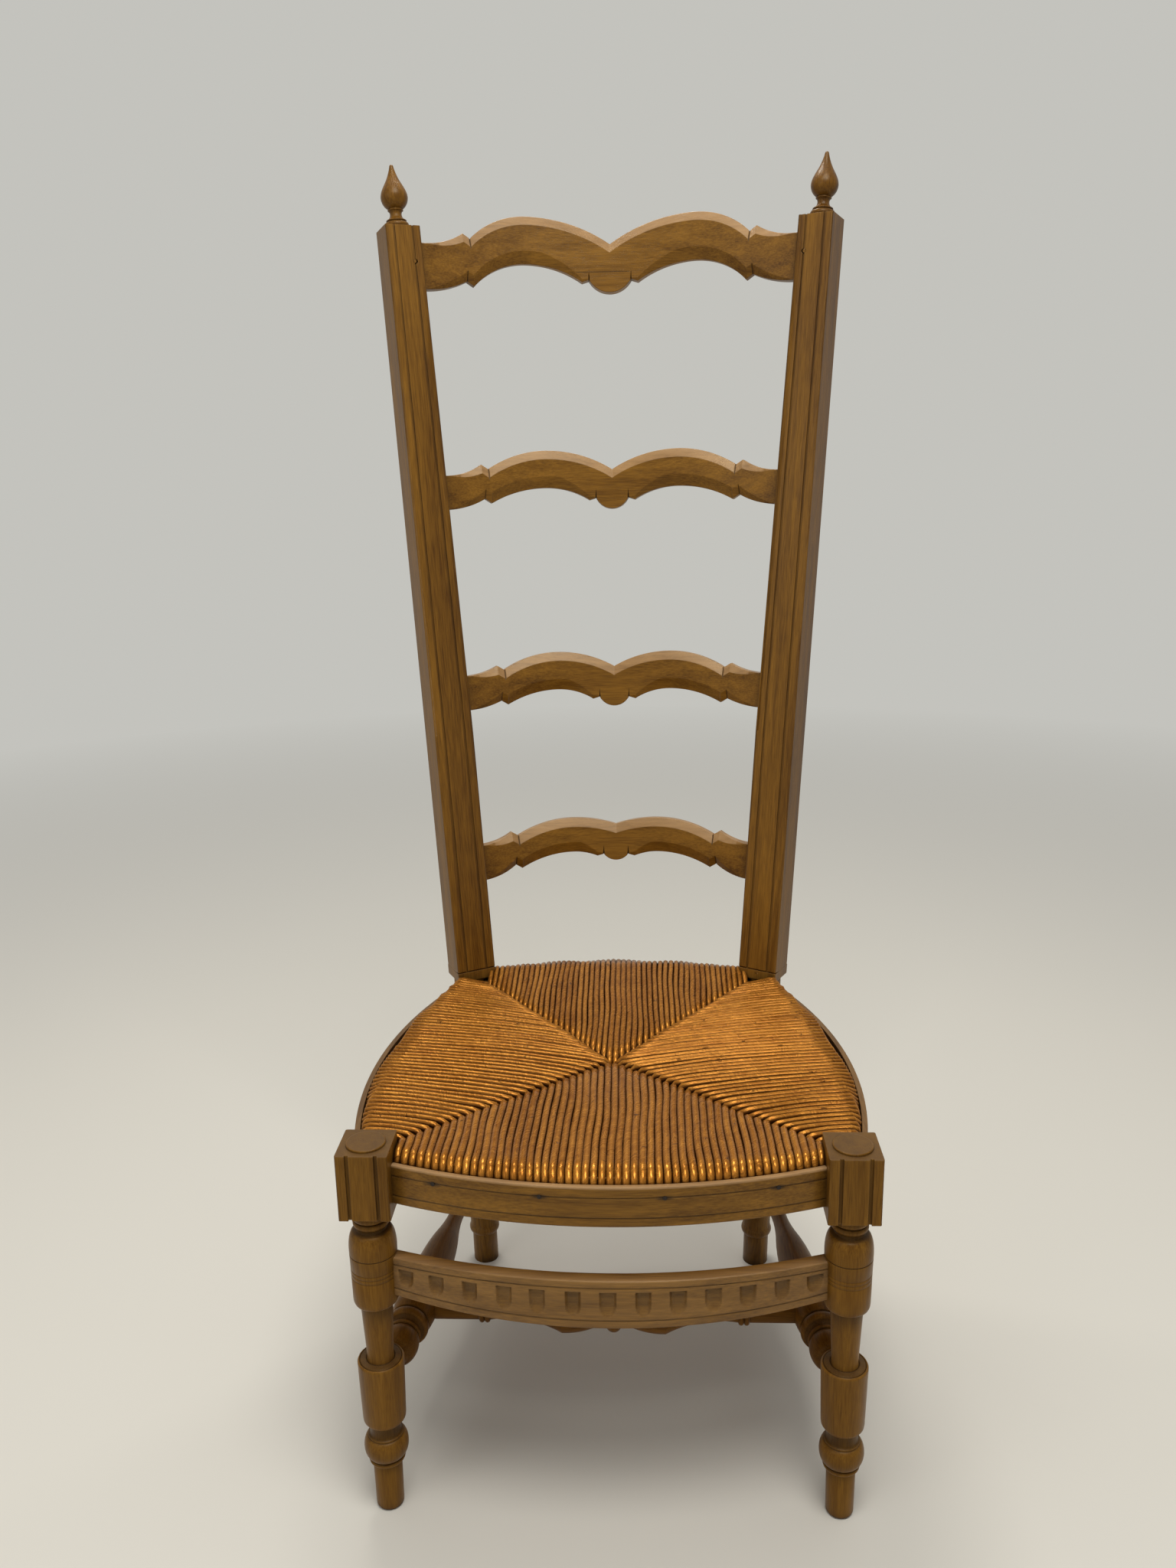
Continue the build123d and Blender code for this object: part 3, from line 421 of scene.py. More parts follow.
def skin(name, sections, lines, wear_and_highlights):
    """Closed skin over sections of equal point counts, in millimetres, capped at both ends.

    The two lists hold, for every point, how dark it is painted (scratches, and painted shade in cuts) and
    how much paler (worn polish, and a painted highlight on top chamfers).
    """
    bpy.ops.object.select_all(action="DESELECT")
    bpy.ops.mesh.primitive_grid_add(x_subdivisions=len(sections[0]), y_subdivisions=len(sections) - 1)
    piece = bpy.context.object
    piece.name = piece.data.name = name
    points = [point for section in sections for point in (*section, section[0])]
    for vertex, (x, y, z) in zip(piece.data.vertices, points):
        vertex.co = (x * mm, y * mm + chair_front, z * mm)
    for attribute, rows in (("line", lines), ("wear_and_highlight", wear_and_highlights)):
        values = [value for row in rows for value in (*row, row[0])]
        piece.data.attributes.new(attribute, "FLOAT", "POINT").data.foreach_set("value", values)
    bpy.ops.object.mode_set(mode="EDIT")
    bpy.ops.mesh.select_all(action="SELECT")
    bpy.ops.mesh.remove_doubles(threshold=weld / 10)
    bpy.ops.mesh.fill_holes(sides=0)
    bpy.ops.mesh.normals_make_consistent(inside=False)
    bpy.ops.object.mode_set(mode="OBJECT")
    bpy.ops.object.shade_smooth_by_angle(angle=math.radians(24))
    return piece


def level_arc(x, x_level, z_level, x_end, z_end):
    """Height at x of an arc that is level at one point and runs to another."""
    across, drop = x_end - x_level, z_level - z_end
    radius = (across ** 2 + drop ** 2) / (2 * drop)
    return z_level - radius + math.copysign(math.sqrt(radius ** 2 - (x - x_level) ** 2), radius)


def slant(x, x_from, z_from, x_to, z_to):
    return z_from + (z_to - z_from) * (x - x_from) / (x_to - x_from)


def back_slat(
    name, level, end, ear, ear_rise, heel_rise, reach, rise, dip, arch, pendant, root, hang, split=None,
):
    """One slat, its heights measured from the middle of its ends, which lie at `level`.

    The humps' tops lie at `reach`, `rise` above and `arch` below, with a `dip` between them over the
    pendant. The wood may be split over the pendant, from `split[0]` to `split[1]` across the slat.
    """
    axis_x = knee_x + math.tan(post_flare) * (level - knee_z)
    axis_y = knee_y + math.tan(post_rake) * (level - knee_z)
    mortise = axis_x - post_half * math.cos(post_turn)
    radius = mortise / math.sin(post_turn)
    center_y = post_half * math.sin(post_turn) - radius * math.cos(post_turn)
    half = mortise - widening(level) * math.cos(post_turn)
    tip, valley = half - ear, half - ear - notch_long
    heel, heel_tip, nib = tip - heel_set, tip - heel_set - notch_long, pendant + notch_long

    def top(x):
        if x <= valley:
            high_end = (0, dip) if x <= reach else (valley, ear_rise - notch_deep)
            return level_arc(x, reach, rise, *high_end)
        if x <= tip:
            return slant(x, valley, ear_rise - notch_deep, tip, ear_rise)
        return level_arc(x, half, end / 2, tip, ear_rise)

    def bottom(x):
        if x <= pendant:
            return level_arc(x, 0, hang, pendant, root + nib_deep)
        if x <= nib:
            return slant(x, pendant, root + nib_deep, nib, root)
        if x <= heel_tip:
            low_end = (nib, root) if x <= reach else (heel_tip, heel_rise - notch_deep)
            return level_arc(x, reach, arch, *low_end)
        if x <= heel:
            return slant(x, heel_tip, heel_rise - notch_deep, heel, heel_rise)
        return level_arc(x, half, -end / 2, heel, heel_rise)

    def chamfer_above(x):
        return top_chamfer if x <= tip else max(arris, top_chamfer * (1 - (x - tip) / (0.85 * ear)))

    def chamfer_below(x):
        if x <= pendant:
            return arris
        if x <= reach:
            share = (x - pendant) / (0.75 * (reach - pendant))
            return min(low_chamfer, arris + (low_chamfer - arris) * share ** 0.8)
        if x <= heel:
            return low_chamfer if x <= heel_tip else heel_chamfer
        return max(arris, heel_chamfer * (1 - (x - heel) / (0.9 * (half - heel))))

    stops = {0, pendant, nib, reach, heel_tip, heel, valley, tip, half, mortise}
    stops |= {kerf + side for kerf in (pendant, heel, valley) for side in (-kerf_half, kerf_half)}
    stops |= set(np.arange(outline_step, half, outline_step))
    stops = sorted(stops)
    sections, lines, wear_and_highlights = [], [], []
    for x in [-stop for stop in reversed(stops[1:])] + stops:
        far = abs(x)
        high, low = top(far), bottom(far)
        upper, lower = chamfer_above(far), chamfer_below(far)
        upper_in, lower_in = upper * top_slope, lower * low_slope
        kerf_low, kerf_high = far in (pendant, heel), far == valley
        if kerf_low:
            lower, lower_in = low_kerf, max(lower_in, low_kerf_least) + low_kerf_extra
        if kerf_high:
            upper, upper_in = top_kerf, top_kerf_in
        face = low + lower + arris
        seam = []
        for step in (-1, 0, 1):
            seam.append(max(root + seam_rise + seam_half * step, face + seam_least * (step + 2)))
        flat = [(lower_in, low), (0, low + lower), (0, face), *((0, height) for height in seam)]
        flat += [(0, high - upper - arris), (0, high - upper), (upper_in, high)]
        flat += [(slat_thick - slat_round, high), (slat_thick, high - slat_round)]
        flat += [(slat_thick, low + slat_round), (slat_thick - slat_round, low)]
        bearing = math.asin(x / radius)
        section = []
        for depth, height in flat:
            out = radius - slat_thick / 2 + depth
            back = center_y + out * math.cos(bearing)
            y = axis_y + back * math.cos(post_rake) + height * math.sin(post_rake)
            z = level - back * math.sin(post_rake) + height * math.cos(post_rake)
            section.append((out * math.sin(bearing), y, z))
        sections.append(section)
        # One dark mark and one pale mark, for wear and painted highlight, for each point of the section.
        open_seam = 0.9 if split and split[0] <= x <= split[1] else 0
        marks = [kerf_low, kerf_low * 0.8, 0, 0, open_seam, 0, 0, kerf_high * 0.8, kerf_high, 0, 0, 0, 0]
        lines.append(marks)
        # The top chamfer and top edge are painted paler: partly polish worn off, partly a painted
        # highlight of light from above.
        worn = 0.9 if upper > 3 else 0.3
        wear_and_highlights.append([0, 0, 0, 0, 0, 0, 0, worn * 0.8, worn, worn * 0.6, 0, 0, 0])
    slat = skin(name, sections, lines, wear_and_highlights)
    slat.data.materials.append(slat_wood)
    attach(slat, "root")
    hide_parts(name.replace("_board", "_slat"))


back_slat(
    "crest_board", level=1065.1, end=44, ear=42, ear_rise=36, heel_rise=-10, reach=86, rise=56, dip=29.5,
    arch=10, pendant=22, root=-8, hang=-18.5, split=(-39, 20),
)
back_slat(
    "upper_board", level=845.1, end=34, ear=38, ear_rise=29.5, heel_rise=-5, reach=68, rise=44.5, dip=25,
    arch=6.5, pendant=17, root=-6.5, hang=-15.5,
)
back_slat(
    "middle_board", level=640.1, end=36, ear=34, ear_rise=27.5, heel_rise=-9.5, reach=60, rise=40.5,
    dip=24.5, arch=0.5, pendant=16, root=-10, hang=-17.5,
)
back_slat(
    "lower_board", level=459.1, end=38, ear=33, ear_rise=30, heel_rise=-6, reach=46.5, rise=42, dip=34.5,
    arch=4.5, pendant=13.5, root=0, hang=-4.5,
)


def finish_nodes(material, *names):
    """Gives CAD pieces that stay as they are their finish."""
    for name in names:
        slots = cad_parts[name].data.materials
        slots.clear()
        slots.append(material)


finish_nodes(slat_wood, "crest_pins")


# Seat frame: four bent wooden rails tenoned into the legs, out of sight under the rush; a thin apron
# in front and two thin edgings at the sides are fixed over the wound edge with iron nails.
grain_back = (math.radians(90), 0, 0)
side_heart, side_sap = (0.075, 0.032, 0.008, 1), (0.20, 0.105, 0.032, 1)
rail_wood = waxed_wood("rail_wood", honey_heart, honey_sap, grain_across)
side_wood = waxed_wood("side_wood", side_heart, side_sap, grain_back)
apron_center, apron_radius, apron_thick = 470.07, 508.07, 5.5
apron_top, apron_high, apron_half = 331.0, 34.0, 176.4
apron_round, apron_ease, apron_lines, line_half = 0.6, 0.8, (9.0, 26.5), 0.9
apron_step, apron_row, line_deep = 1.2, 0.55, 0.8
nail_drop, nail_places = 9.2, (-139.0, -52.0, 45.0, 135.0)
smear_wide, smear_high = 6.0, 1.7


def on_apron(along, down, depth):
    """A place on the apron, from its middle, its top edge and its front face."""
    bearing, out = along / apron_radius, apron_radius - depth
    return out * math.sin(bearing), apron_center - out * math.cos(bearing), apron_top - down


def off_nail(along, down):
    """How far a place on the apron is from the nearest nail, in sizes of a nail's rust smear."""
    below = (down - nail_drop) / smear_high
    return min(math.hypot((along - nail) / smear_wide, below) for nail in nail_places)


sections, lines, wear_and_highlights = [], [], []
for along in np.arange(-apron_half, apron_half + 0.1, apron_step):
    flat, marks = [], []
    for down in np.arange(apron_high - 1, 0.9, -apron_row):
        groove = max(0, *(1 - abs(down - line) / line_half for line in apron_lines))
        flat.append((groove * line_deep, down))
        marks.append(max(groove * 0.75, min(0.9, 1.5 * max(0, 1 - off_nail(along, down) / 1.6))))
    flat += [(apron_round, 0), (apron_thick - apron_round, 0), (apron_thick, apron_ease)]
    flat += [(apron_thick, apron_high - apron_ease), (apron_thick - apron_round, apron_high)]
    flat += [(apron_round, apron_high)]
    sections.append([on_apron(along, down, depth) for depth, down in flat])
    lines.append(marks + [0] * 6)
    wear_and_highlights.append([0.0] * (len(marks) - 1) + [0.6, 1, 0.6, 0, 0, 0, 0.2])
apron = skin("apron_strip", sections, lines, wear_and_highlights)
apron.data.materials.append(rail_wood)
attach(apron, "root")
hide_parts("front_apron")

iron_black, iron_brown = (0.012, 0.010, 0.009, 1), (0.06, 0.045, 0.034, 1)
nail_iron, start = new_finish("nail_iron")
pits = start.node("ShaderNodeTexCoord", None, None, "Object").noise(1400, 3)
colour = pits.blend(iron_black, iron_brown)
normal = start.node("ShaderNodeBump", None, {"Strength": 0.5, "Distance": 0.0003, "Height": pits})
apply_finish(start, colour, pits * 0.3 + 0.45, normal, Metallic=0.7)
nail_profile = [(0, -3), (0.9, -3), (1.0, 0), (1.7, 0.02), (1.75, 0.2), (1.2, 0.42), (0.5, 0.36), (0, 0.3)]
nails = []
for along in nail_places:
    nail = lathe("apron_nail", nail_profile)
    x, y, z = on_apron(along, nail_drop, 0)
    nail.data.transform(stood((x * mm, y * mm + chair_front, z * mm), Vector((x, y - apron_center, 0))))
    nails.append(nail)
nail_heads = join(nails, "apron_nail_heads")
nail_heads.data.materials.append(nail_iron)
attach(nail_heads, "root")
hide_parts("apron_nails")
finish_nodes(nail_iron, "edging_nails")
finish_nodes(rail_wood, "front_seat_rail", "rear_seat_rail")
finish_nodes(side_wood, "side_seat_rail_left", "side_seat_rail_right")
finish_nodes(side_wood, "side_edging_left", "side_edging_right")


# Rush seat: cords twisted from rush leaves, wound over each rail in turn and round the corner, so
# that every round leaves a strand on two rails and four panels meet along diagonals in the middle.
front_pairs, rear_pairs = 27, 25
front_center, front_edge = 470.07, 502.57
side_center_x, side_center_y, side_edge = -253.93, 129.07, 469.9
rear_center, rear_edge = -705.3, 1084.3
front_half, front_line = 172.0, 21.0
rear_half, rear_line = 138.0, 341.0
middle_y = 178.0
rush_top, rush_low, rush_dish = 339.0, 301.0, 9.0
edge_roll, side_roll = 11.0, 7.0
rear_lift, rear_bulge, rear_crown, corner_lift = 5.0, 4.0, 6.0, 3.0
front_skew, middle_skew, rear_skew = 6.0, 18.0, 14.0
cord_half, strand_fill, side_fill, tuck = 3.4, 0.59, 0.54, 2.5
fall_wander, path_wander, width_wander, swell_wander = 0.5, 0.15, 0.07, 0.09
rings, spokes, swells = 34, 8, 9
chance = random.Random(7)


def wander(size):
    return chance.uniform(-size, size)


def strand_blank():
    """A straight tube of unit radius, one ring per unit of Z; every strand is a bent copy of it."""
    bpy.ops.object.select_all(action="DESELECT")
    bpy.ops.mesh.primitive_grid_add(x_subdivisions=spokes, y_subdivisions=rings - 1)
    blank = bpy.context.object
    for index, vertex in enumerate(blank.data.vertices):
        ring, spoke = divmod(index, spokes + 1)
        angle = spoke / spokes * math.tau
        vertex.co = (math.cos(angle), math.sin(angle), ring)
    bpy.ops.object.mode_set(mode="EDIT")
    bpy.ops.mesh.select_all(action="SELECT")
    bpy.ops.mesh.remove_doubles(threshold=0.001)
    bpy.ops.mesh.fill_holes(sides=0)
    bpy.ops.mesh.normals_make_consistent(inside=False)
    bpy.ops.object.mode_set(mode="OBJECT")
    bpy.ops.object.shade_smooth()
    return blank


def strand_profile(reach, fall, lift, roll):
    """Height of a strand's middle over the distance in from the seat's edge, from under to over."""
    top, low = rush_top + lift - cord_half, rush_low + cord_half
    inner = roll - cord_half
    # Both ends turn in where the panels meet.
    points = [(reach, low + 9 + fall), (reach - 2, low + 4 + fall), (reach - 6, low + 0.5 + fall)]
    points += [(reach + (roll - reach) * t, low + fall * (1 - t)) for t in (0.25, 0.5, 0.75, 1)]
    for angle in np.radians(np.arange(15, 91, 15)):
        points.append((roll - inner * math.sin(angle), low + inner - inner * math.cos(angle)))
    for angle in np.radians(np.arange(0, 91, 15)):
        points.append((roll - inner * math.cos(angle), top - inner + inner * math.sin(angle)))
    fall += lift
    points += [(roll + (reach - 7 - roll) * t, top - fall * t) for t in np.linspace(0.1, 1, 9)]
    points += [(reach - 4, top - fall - 1), (reach - 1.5, top - fall - 3.5), (reach, top - fall - 8)]
    return points


def lay_strand(mesh, path, sideways, half_width):
    """Bends a copy of the blank along a path of points in millimetres."""
    path = np.array(path)
    steps = np.linalg.norm(np.diff(path, axis=0), axis=1)
    run = np.concatenate([[0], np.cumsum(steps)])
    at = np.linspace(0, run[-1], rings)
    line = np.stack([np.interp(at, run, path[:, k]) for k in range(3)], axis=1)
    tangent = np.gradient(line, axis=0)
    tangent /= np.linalg.norm(tangent, axis=1)[:, None]
    across = np.array(sideways, float)
    upright = np.cross(tangent, across)
    upright /= np.linalg.norm(upright, axis=1)[:, None]
    sizes = [1 + wander(swell_wander) for _ in range(swells)]
    swell = np.interp(np.arange(rings), np.linspace(0, rings, swells), sizes)
    straight = np.empty(len(mesh.vertices) * 3)
    mesh.vertices.foreach_get("co", straight)
    straight = straight.reshape(-1, 3)
    ring = np.rint(straight[:, 2]).astype(int)
    laid = line[ring] + straight[:, :1] * (upright * cord_half * swell[:, None])[ring]
    laid += straight[:, 1:2] * across * half_width
    mesh.vertices.foreach_set("co", (laid * mm + (0, chair_front, 0)).ravel())
    uv = mesh.uv_layers[0].data
    flat = np.empty(len(uv) * 2)
    uv.foreach_get("uv", flat)
    flat = flat.reshape(-1, 2)
    flat[:, 1] *= run[-1] * mm
    uv.foreach_set("uv", flat.ravel())
    tone = mesh.attributes.new("tone", "FLOAT", "POINT")
    tone.data.foreach_set("value", np.full(len(mesh.vertices), chance.random(), np.float32))
    mesh.update()


def weave_panel(name, blank, strands):
    """One panel of the seat: its strands laid one by one and joined."""
    pieces = []
    for path, sideways, half_width in strands:
        mesh = blank.data.copy()
        lay_strand(mesh, path, sideways, half_width)
        piece = bpy.data.objects.new(name, mesh)
        bpy.context.scene.collection.objects.link(piece)
        pieces.append(piece)
    return join(pieces, name)


def stray(pair, s):
    """How far a strand strays sideways, so that neighbours sway together."""
    return 0.9 * math.sin(s / 30 + pair * 0.16) + 0.35 * math.sin(s / 13 + pair * 0.5)


front_strands, rear_strands, left_strands, right_strands = [], [], [], []
corners = ((front_pairs, front_line, front_half), (rear_pairs, rear_line, rear_half))
for side in (-1, 1):
    pitch = front_half / front_pairs
    for pair in range(front_pairs):
        share = (pair + 0.5) / front_pairs
        x = side * front_half * (1 - share)
        mitre = front_line + share * (middle_y - front_line)
        edge = front_center - math.sqrt(front_edge ** 2 - x ** 2)
        fall = rush_dish * share + wander(fall_wander)
        profile = strand_profile(mitre - edge + tuck, fall, 0, edge_roll)
        path = [(x + stray(pair, s) + wander(path_wander), edge + s, z) for s, z in profile]
        front_strands.append((path, (1, 0, 0), pitch * strand_fill * (1 + wander(width_wander))))
    pitch = rear_half / rear_pairs
    for pair in range(rear_pairs):
        share = (pair + 0.5) / rear_pairs
        x = side * rear_half * (1 - share)
        mitre = rear_line + share * (middle_y - rear_line)
        crown = 1 - (x / rear_half) ** 2
        edge = rear_center + math.sqrt(rear_edge ** 2 - x ** 2) + rear_bulge * crown
        fall = rush_dish * share + wander(fall_wander)
        lift = rear_lift + rear_crown * crown + corner_lift * (x / rear_half) ** 8
        profile = strand_profile(edge - mitre + tuck, fall, lift, edge_roll)
        path = [(x + stray(pair, s) + wander(path_wander), edge - s, z) for s, z in profile]
        rear_strands.append((path, (1, 0, 0), pitch * strand_fill * (1 + wander(width_wander))))
    strands = left_strands if side < 0 else right_strands
    for pairs, corner_y, corner_x in corners:
        pitch = abs(middle_y - corner_y) / pairs
        for pair in range(pairs):
            share = (pair + 0.5) / pairs
            y = corner_y + share * (middle_y - corner_y)
            mitre = corner_x * (1 - share)
            back = (y - front_line) / (rear_line - front_line)
            skew = front_skew + middle_skew * math.sin(math.pi * back) - rear_skew * back ** 8
            edge = side_center_x + math.sqrt(side_edge ** 2 - (y + skew - side_center_y) ** 2)
            fall = rush_dish * share + wander(fall_wander)
            lift = rear_lift * back ** 3 + corner_lift * back ** 16
            reach = edge - mitre + tuck
            path = []
            for s, z in strand_profile(reach, fall, lift, side_roll):
                drawn = skew * (1 - (s / reach) ** 2)
                path.append((side * (edge - s), y + drawn + stray(pair, s) + wander(path_wander), z))
            strands.append((path, (0, 1, 0), pitch * side_fill * (1 + wander(width_wander))))

core_inset, core_low, core_top, core_steps = 15.0, 314.5, 322.5, 40
core_front, core_rear = front_center - front_edge + core_inset, rear_center + rear_edge - core_inset
sections = []
for y in np.linspace(core_front, core_rear, core_steps):
    wide = side_center_x + math.sqrt(side_edge ** 2 - (y - side_center_y) ** 2) - core_inset
    front_limit = front_edge ** 2 - (front_center - y + core_inset) ** 2
    rear_limit = rear_edge ** 2 - (y - rear_center + core_inset) ** 2
    wide = max(1, min(wide, math.sqrt(max(0, front_limit)), math.sqrt(max(0, rear_limit))))
    under = [(-wide, y, core_low), (wide, y, core_low)]
    sections.append(under + [(wide, y, core_top), (-wide, y, core_top)])
plain = [[0, 0, 0, 0] for _ in sections]
stuffing = skin("rush_stuffing", sections, plain, plain)

blank = strand_blank()
panels = [
    weave_panel("rush_front", blank, front_strands),
    weave_panel("rush_rear", blank, rear_strands),
    weave_panel("rush_left", blank, left_strands),
    weave_panel("rush_right", blank, right_strands),
]
bpy.data.objects.remove(blank)

leaf_brown, leaf_gold = (0.245, 0.077, 0.006, 1), (0.60, 0.252, 0.037, 1)
flank_shade_brown, seam_brown = (0.05, 0.014, 0.002, 1), (0.045, 0.013, 0.002, 1)
crease_shade_brown = (0.035, 0.010, 0.002, 1)
twisted_rush, start = new_finish("twisted_rush")
lay = start.node("ShaderNodeUVMap", None, None)
around = start.node("ShaderNodeSeparateXYZ", None, {"Vector": lay}, "X")
length = start.node("ShaderNodeSeparateXYZ", None, {"Vector": lay}, "Y")
tone = start.node("ShaderNodeAttribute", {"attribute_name": "tone"}, None, "Fac")
place = start.node("ShaderNodeTexCoord", None, None, "Object")
ripple = place.noise(60, 2)
wind = around + length * 30 + tone * 7 + ripple * 1.4
fibre_at = start.node("ShaderNodeCombineXYZ", None, {"X": wind * 9, "Y": length * 55, "Z": tone * 40})
fibre = fibre_at.noise(1.6, 3, 0.6)
off = wind.math("FRACT", wind) - 0.5
broken = ((place.noise(160, 1) - 0.42) * 6).clamped()
seam = ((off.math("ABSOLUTE", off) - 0.478) * 60).clamped() * broken
# Painted shade: each strand is darker down its sides than along its crest.
flank_shade = around.math("SINE", around * math.tau) ** 2
# Painted shade in the creases between strands, from ambient occlusion.
shelter = start.node("ShaderNodeAmbientOcclusion", {"samples": 8}, {"Distance": 0.006}, "AO")
crease_shade = ((1 - shelter) * 1.7 - 0.15).clamped()
colour = (fibre * 1.5 + tone * 0.3 + ripple * 0.6 - 0.7).clamped().blend(leaf_brown, leaf_gold)
for cover, tint in ((flank_shade * 0.85, flank_shade_brown), (seam * 0.75, seam_brown), (crease_shade * 0.9, crease_shade_brown)):
    colour = cover.blend(colour, tint)
relief = fibre * 0.5 - seam * 0.6
normal = start.node("ShaderNodeBump", None, {"Strength": 0.3, "Distance": 0.0006, "Height": relief})
apply_finish(start, colour, fibre * 0.2 + 0.16, normal, Metallic=0.5, Specular_IOR_Level=0.1)
for panel in (*panels, stuffing):
    panel.data.materials.append(twisted_rush)
    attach(panel, "root")
    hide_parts("rush_seat")


# Front stretcher: a bowed fruitwood board tenoned between the legs, scratched with a line along each
# edge and carved with a row of gouge cuts; its polish is rubbed thin on the face.
stretcher_wood = waxed_wood("stretcher_wood", honey_heart, honey_sap, grain_across)
board_radius, board_center, board_top, board_thick = 566.7, 531.0, 247.0, 12.0
board_deep, board_sweep, board_half, board_reach = 43.0, 7.0, 170.0, 184.0
upper_line, lower_line, scratch_half, scratch_deep = 6.5, 7.0, 0.8, 0.8
board_step, board_rows, board_round, board_ease = 0.8, 56, 1.0, 0.9
cut_count, cut_pitch, cut_half, cut_deep = 13, 28.0, 6.6, 3.4
cut_drop, cut_margin = 10.0, 21.0
place_wander, deep_wander, half_wander = 0.7, 0.6, 0.5
cuts = []
for index in range(cut_count):
    middle = (index - (cut_count - 1) / 2) * cut_pitch + wander(place_wander)
    cuts.append((middle, cut_deep + wander(deep_wander), cut_half + wander(half_wander)))


def carved(along, down, deep):
    """How deep the front is cut, and how dark it is painted, along the board and down from its top edge:
    dark for the scratched lines, and painted shade in the gouge cuts.
    """
    off_line = min(abs(down - upper_line), abs(down - deep + lower_line))
    depth = max(1 - off_line / scratch_half, 0) * scratch_deep
    line_and_shade = depth * 0.8
    for middle, gouge, half in cuts:
        off = abs(along - middle) / half
        below = down - cut_drop
        if off < 1 and below > 0:
            to_foot = (deep - cut_margin) - 1.5 * half * (1 - math.sqrt(1 - off ** 2)) - below
            if to_foot > 0:
                depth = max(depth, gouge * (1 - off ** 4) * min(1, to_foot / 7) ** 0.6)
                # Painted shade in a gouge cut: some all over, most under its stop cut at the top and along
                # its sides.
                line_and_shade = max(line_and_shade, 0.2 + 0.5 * max(0, 1 - below / 2.5) + 0.3 * max(0, off - 0.7))
    return depth, line_and_shade


sections, lines, wear_and_highlights = [], [], []
for along in np.arange(-board_reach, board_reach + 0.1, board_step):
    bearing = along / board_radius
    deep = board_deep - board_sweep * (along / board_half) ** 2
    flat, marks = [], []
    for share in np.linspace(0.98, 0.02, board_rows):
        depth, line_and_shade = carved(along, share * deep, deep)
        flat.append((depth, share * deep))
        marks.append(line_and_shade)
    flat += [(board_ease, 0), (board_thick - board_round, 0), (board_thick, board_round)]
    flat += [(board_thick, deep - board_round), (board_thick - board_round, deep), (board_ease, deep)]
    section = []
    for depth, down in flat:
        out = board_radius - depth
        section.append((out * math.sin(bearing), board_center - out * math.cos(bearing), board_top - down))
    sections.append(section)
    lines.append(marks + [0] * 6)
    wear_and_highlights.append([0.3 * (1 - mark) for mark in marks] + [0.7, 0.1, 0, 0, 0, 0.5])
board = skin("carved_board", sections, lines, wear_and_highlights)
board.data.materials.append(stretcher_wood)
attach(board, "root")
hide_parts("front_stretcher")


# Side and cross stretchers: turned fruitwood with balls, collars and long bellies, stained a redder
# brown; the side ones are let into legs and posts with round tenons, the cross one into the side ones.
dark_heart, dark_sap, dark_sheen = (0.062, 0.022, 0.0025, 1), (0.185, 0.078, 0.010, 1), 0.1
side_stretcher_wood = waxed_wood("side_stretcher_wood", dark_heart, dark_sap, grain_back, dark_sheen)
cross_stretcher_wood = waxed_wood("cross_stretcher_wood", dark_heart, dark_sap, grain_across, dark_sheen)
stretcher_height, stretcher_inward, stretcher_back = 119.0, 38.22, 349.5
stretcher_ball = [(0, 10), (9.5, 10), (9.5, 32), (10.2, 35.6)] + swelled(11.6, 37, 12.4, 60, 4.4, 14)
stretcher_collar = [(11.8, 60.8)] + swelled(13.4, 61.4, 13.8, 64.6, 1.2, 6)
stretcher_collar += swelled(13.2, 65.2, 16.0, 69.4, -0.8, 6)
stretcher_collar += swelled(16.8, 69.8, 16.8, 78.4, 1.9, 8) + [(14.6, 79.4)]
stretcher_belly = [(17.6, 80.8), (19.0, 85.5), (19.8, 94), (20.0, 106), (19.8, 119), (19.2, 133)]
stretcher_belly += [(18.2, 148), (17.0, 163), (15.9, 178), (14.8, 189), (13.3, 200), (11.7, 208.5)]
stretcher_neck = [(10.2, 216.5), (9.0, 224.5), (8.1, 232.5), (7.6, 241), (7.6, 252), (8.0, 270)]
stretcher_neck += [(8.8, 300), (9.6, 330), (9.8, 346), (0, 346)]
stretcher_profile = stretcher_ball + stretcher_collar + stretcher_belly + stretcher_neck
# Painted shade in the quirks beside the collar and in the hollow between its beads.
stretcher_quirk_shade = [(60.8, 60.8, 0.9), (65.2, 69.4, 0.5), (79.4, 79.4, 0.9)]
for side, across in (("left", -1), ("right", 1)):
    front_end = (across * leg_spread * mm, chair_front, stretcher_height * mm)
    turning = lathe(f"side_stretcher_turned_{side}", stretcher_profile, stretcher_quirk_shade)
    turning.data.transform(stood(front_end, Vector((-across * stretcher_inward, stretcher_back, 0))))
    turning.data.materials.append(side_stretcher_wood)
    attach(turning, "root")
    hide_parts(f"side_stretcher_{side}")
finish_nodes(cross_stretcher_wood, "cross_stretcher")


# Setting: a pale floor that runs out into a pale background, soft light from above and in front, and
# the camera level with the upper slat, looking down on the seat.
bpy.ops.object.select_all(action="DESELECT")
bpy.ops.mesh.primitive_circle_add(vertices=96, radius=9, fill_type="NGON", location=(0, 0, 0))
floor = bpy.context.object
floor.name = "floor"
backdrop, floor_white, sky_white = (0.55, 0.545, 0.51, 1), (0.68, 0.66, 0.60, 1), (1, 0.985, 0.96, 1)
pale_floor, start = new_finish("pale_floor")
place = start.node("ShaderNodeTexCoord", None, None, "Object")
distance = start.node("ShaderNodeVectorMath", {"operation": "LENGTH"}, {0: place}, "Value")
matte = start.node("ShaderNodeBsdfDiffuse", None, {"Color": floor_white})
glow = start.node("ShaderNodeEmission", None, {"Color": backdrop, "Strength": 1.0})
far = ((distance - 1.0) * 0.4).clamped()
surface = start.node("ShaderNodeMixShader", None, {0: far, 1: matte, 2: glow})
start.node("ShaderNodeOutputMaterial", None, {"Surface": surface})
floor.data.materials.append(pale_floor)

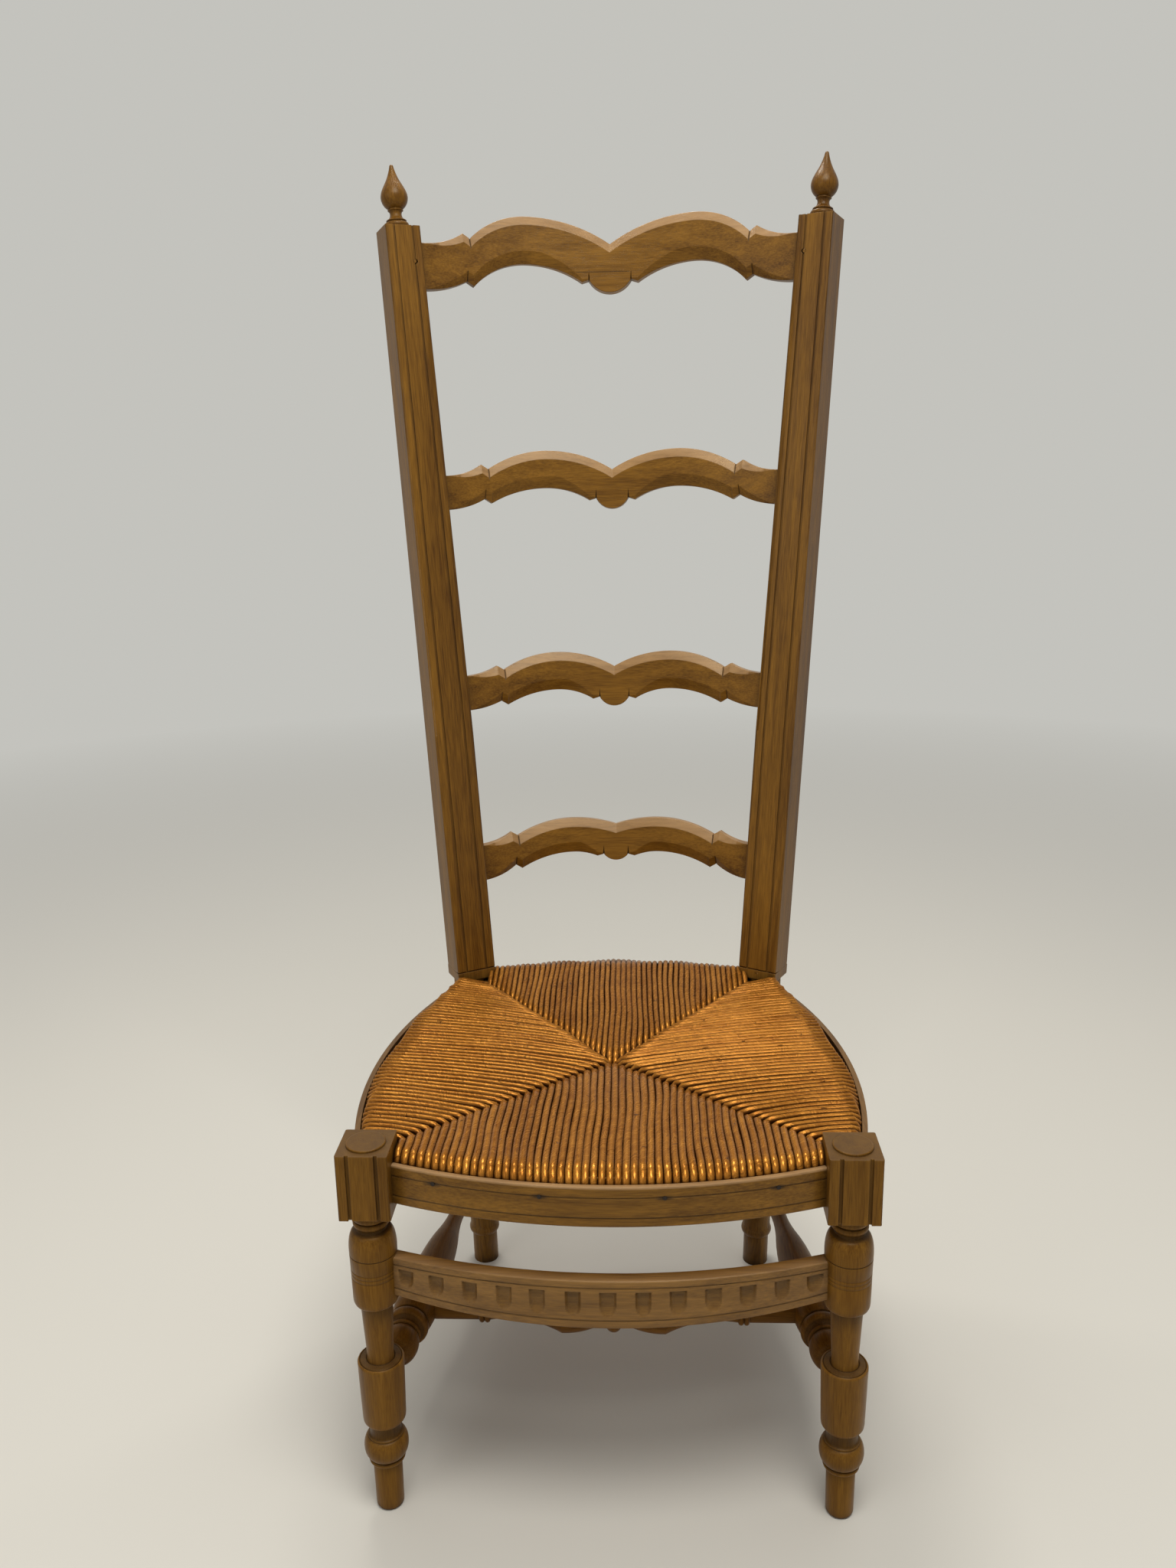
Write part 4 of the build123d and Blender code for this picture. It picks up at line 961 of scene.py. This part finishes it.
world = bpy.context.scene.world or bpy.data.worlds.new("studio")
bpy.context.scene.world = world
world.use_nodes = True
world.node_tree.nodes.clear()
start = Shade(world.node_tree)
seen = start.node("ShaderNodeLightPath", None, None, "Is Camera Ray")
for ray in ("Is Glossy Ray", "Is Transmission Ray"):
    seen = seen.math("MAXIMUM", seen, start.node("ShaderNodeLightPath", None, None, ray))
ray_aim = start.node("ShaderNodeTexCoord", None, None, "Generated")
height = start.node("ShaderNodeSeparateXYZ", None, {"Vector": ray_aim}, "Z")
strength = height.clamped() * 0.4 + 0.14
soft = start.node("ShaderNodeBackground", None, {"Color": sky_white, "Strength": strength})
shown = start.node("ShaderNodeBackground", None, {"Color": backdrop, "Strength": 1.0})
surface = start.node("ShaderNodeMixShader", None, {0: seen, 1: soft, 2: shown})
start.node("ShaderNodeOutputWorld", None, {"Surface": surface})

lamp_target = Vector((0, 0, 0.45))
for name, place, wide, deep, power, tint in (
    ("key", (0.25, -0.95, 2.5), 1.1, 1.1, 31, (1, 0.975, 0.93)),
    ("ceiling", (-0.2, 0.75, 2.4), 0.95, 0.34, 18, (1, 0.975, 0.93)),
    ("fill", (-1.6, -1.6, 1.6), 1.4, 1.4, 6, (1, 0.98, 0.95)),
):
    bpy.ops.object.select_all(action="DESELECT")
    bpy.ops.object.light_add(type="AREA", location=place)
    lamp = bpy.context.object
    lamp.name = name
    lamp.data.shape = "ELLIPSE"
    lamp.data.size, lamp.data.size_y = wide, deep
    lamp.data.energy = power
    lamp.data.color = tint
    lamp.rotation_euler = (lamp_target - Vector(place)).to_track_quat("-Z", "Y").to_euler()

tilt, roll, yaw = math.radians(14.27), math.radians(-1.1), math.radians(-2.72)
focal_pixels, frame_pixels, film = 1604.8, 2048, 36
camera_place = (0.03172, chair_front - 0.87203, 0.86288)
ahead = Vector((math.sin(yaw) * math.cos(tilt), math.cos(yaw) * math.cos(tilt), -math.sin(tilt)))
right = Vector((math.cos(yaw), -math.sin(yaw), 0))
up = right.cross(ahead)
level_right = math.cos(roll) * right + math.sin(roll) * up
level_up = -math.sin(roll) * right + math.cos(roll) * up
bpy.ops.object.select_all(action="DESELECT")
bpy.ops.object.camera_add(location=camera_place)
camera = bpy.context.object
camera.data.sensor_width = film
camera.data.lens = focal_pixels / frame_pixels * film
camera.rotation_euler = Matrix((level_right, level_up, -ahead)).transposed().to_euler()
bpy.context.scene.camera = camera
bpy.context.scene.view_settings.view_transform = "Standard"
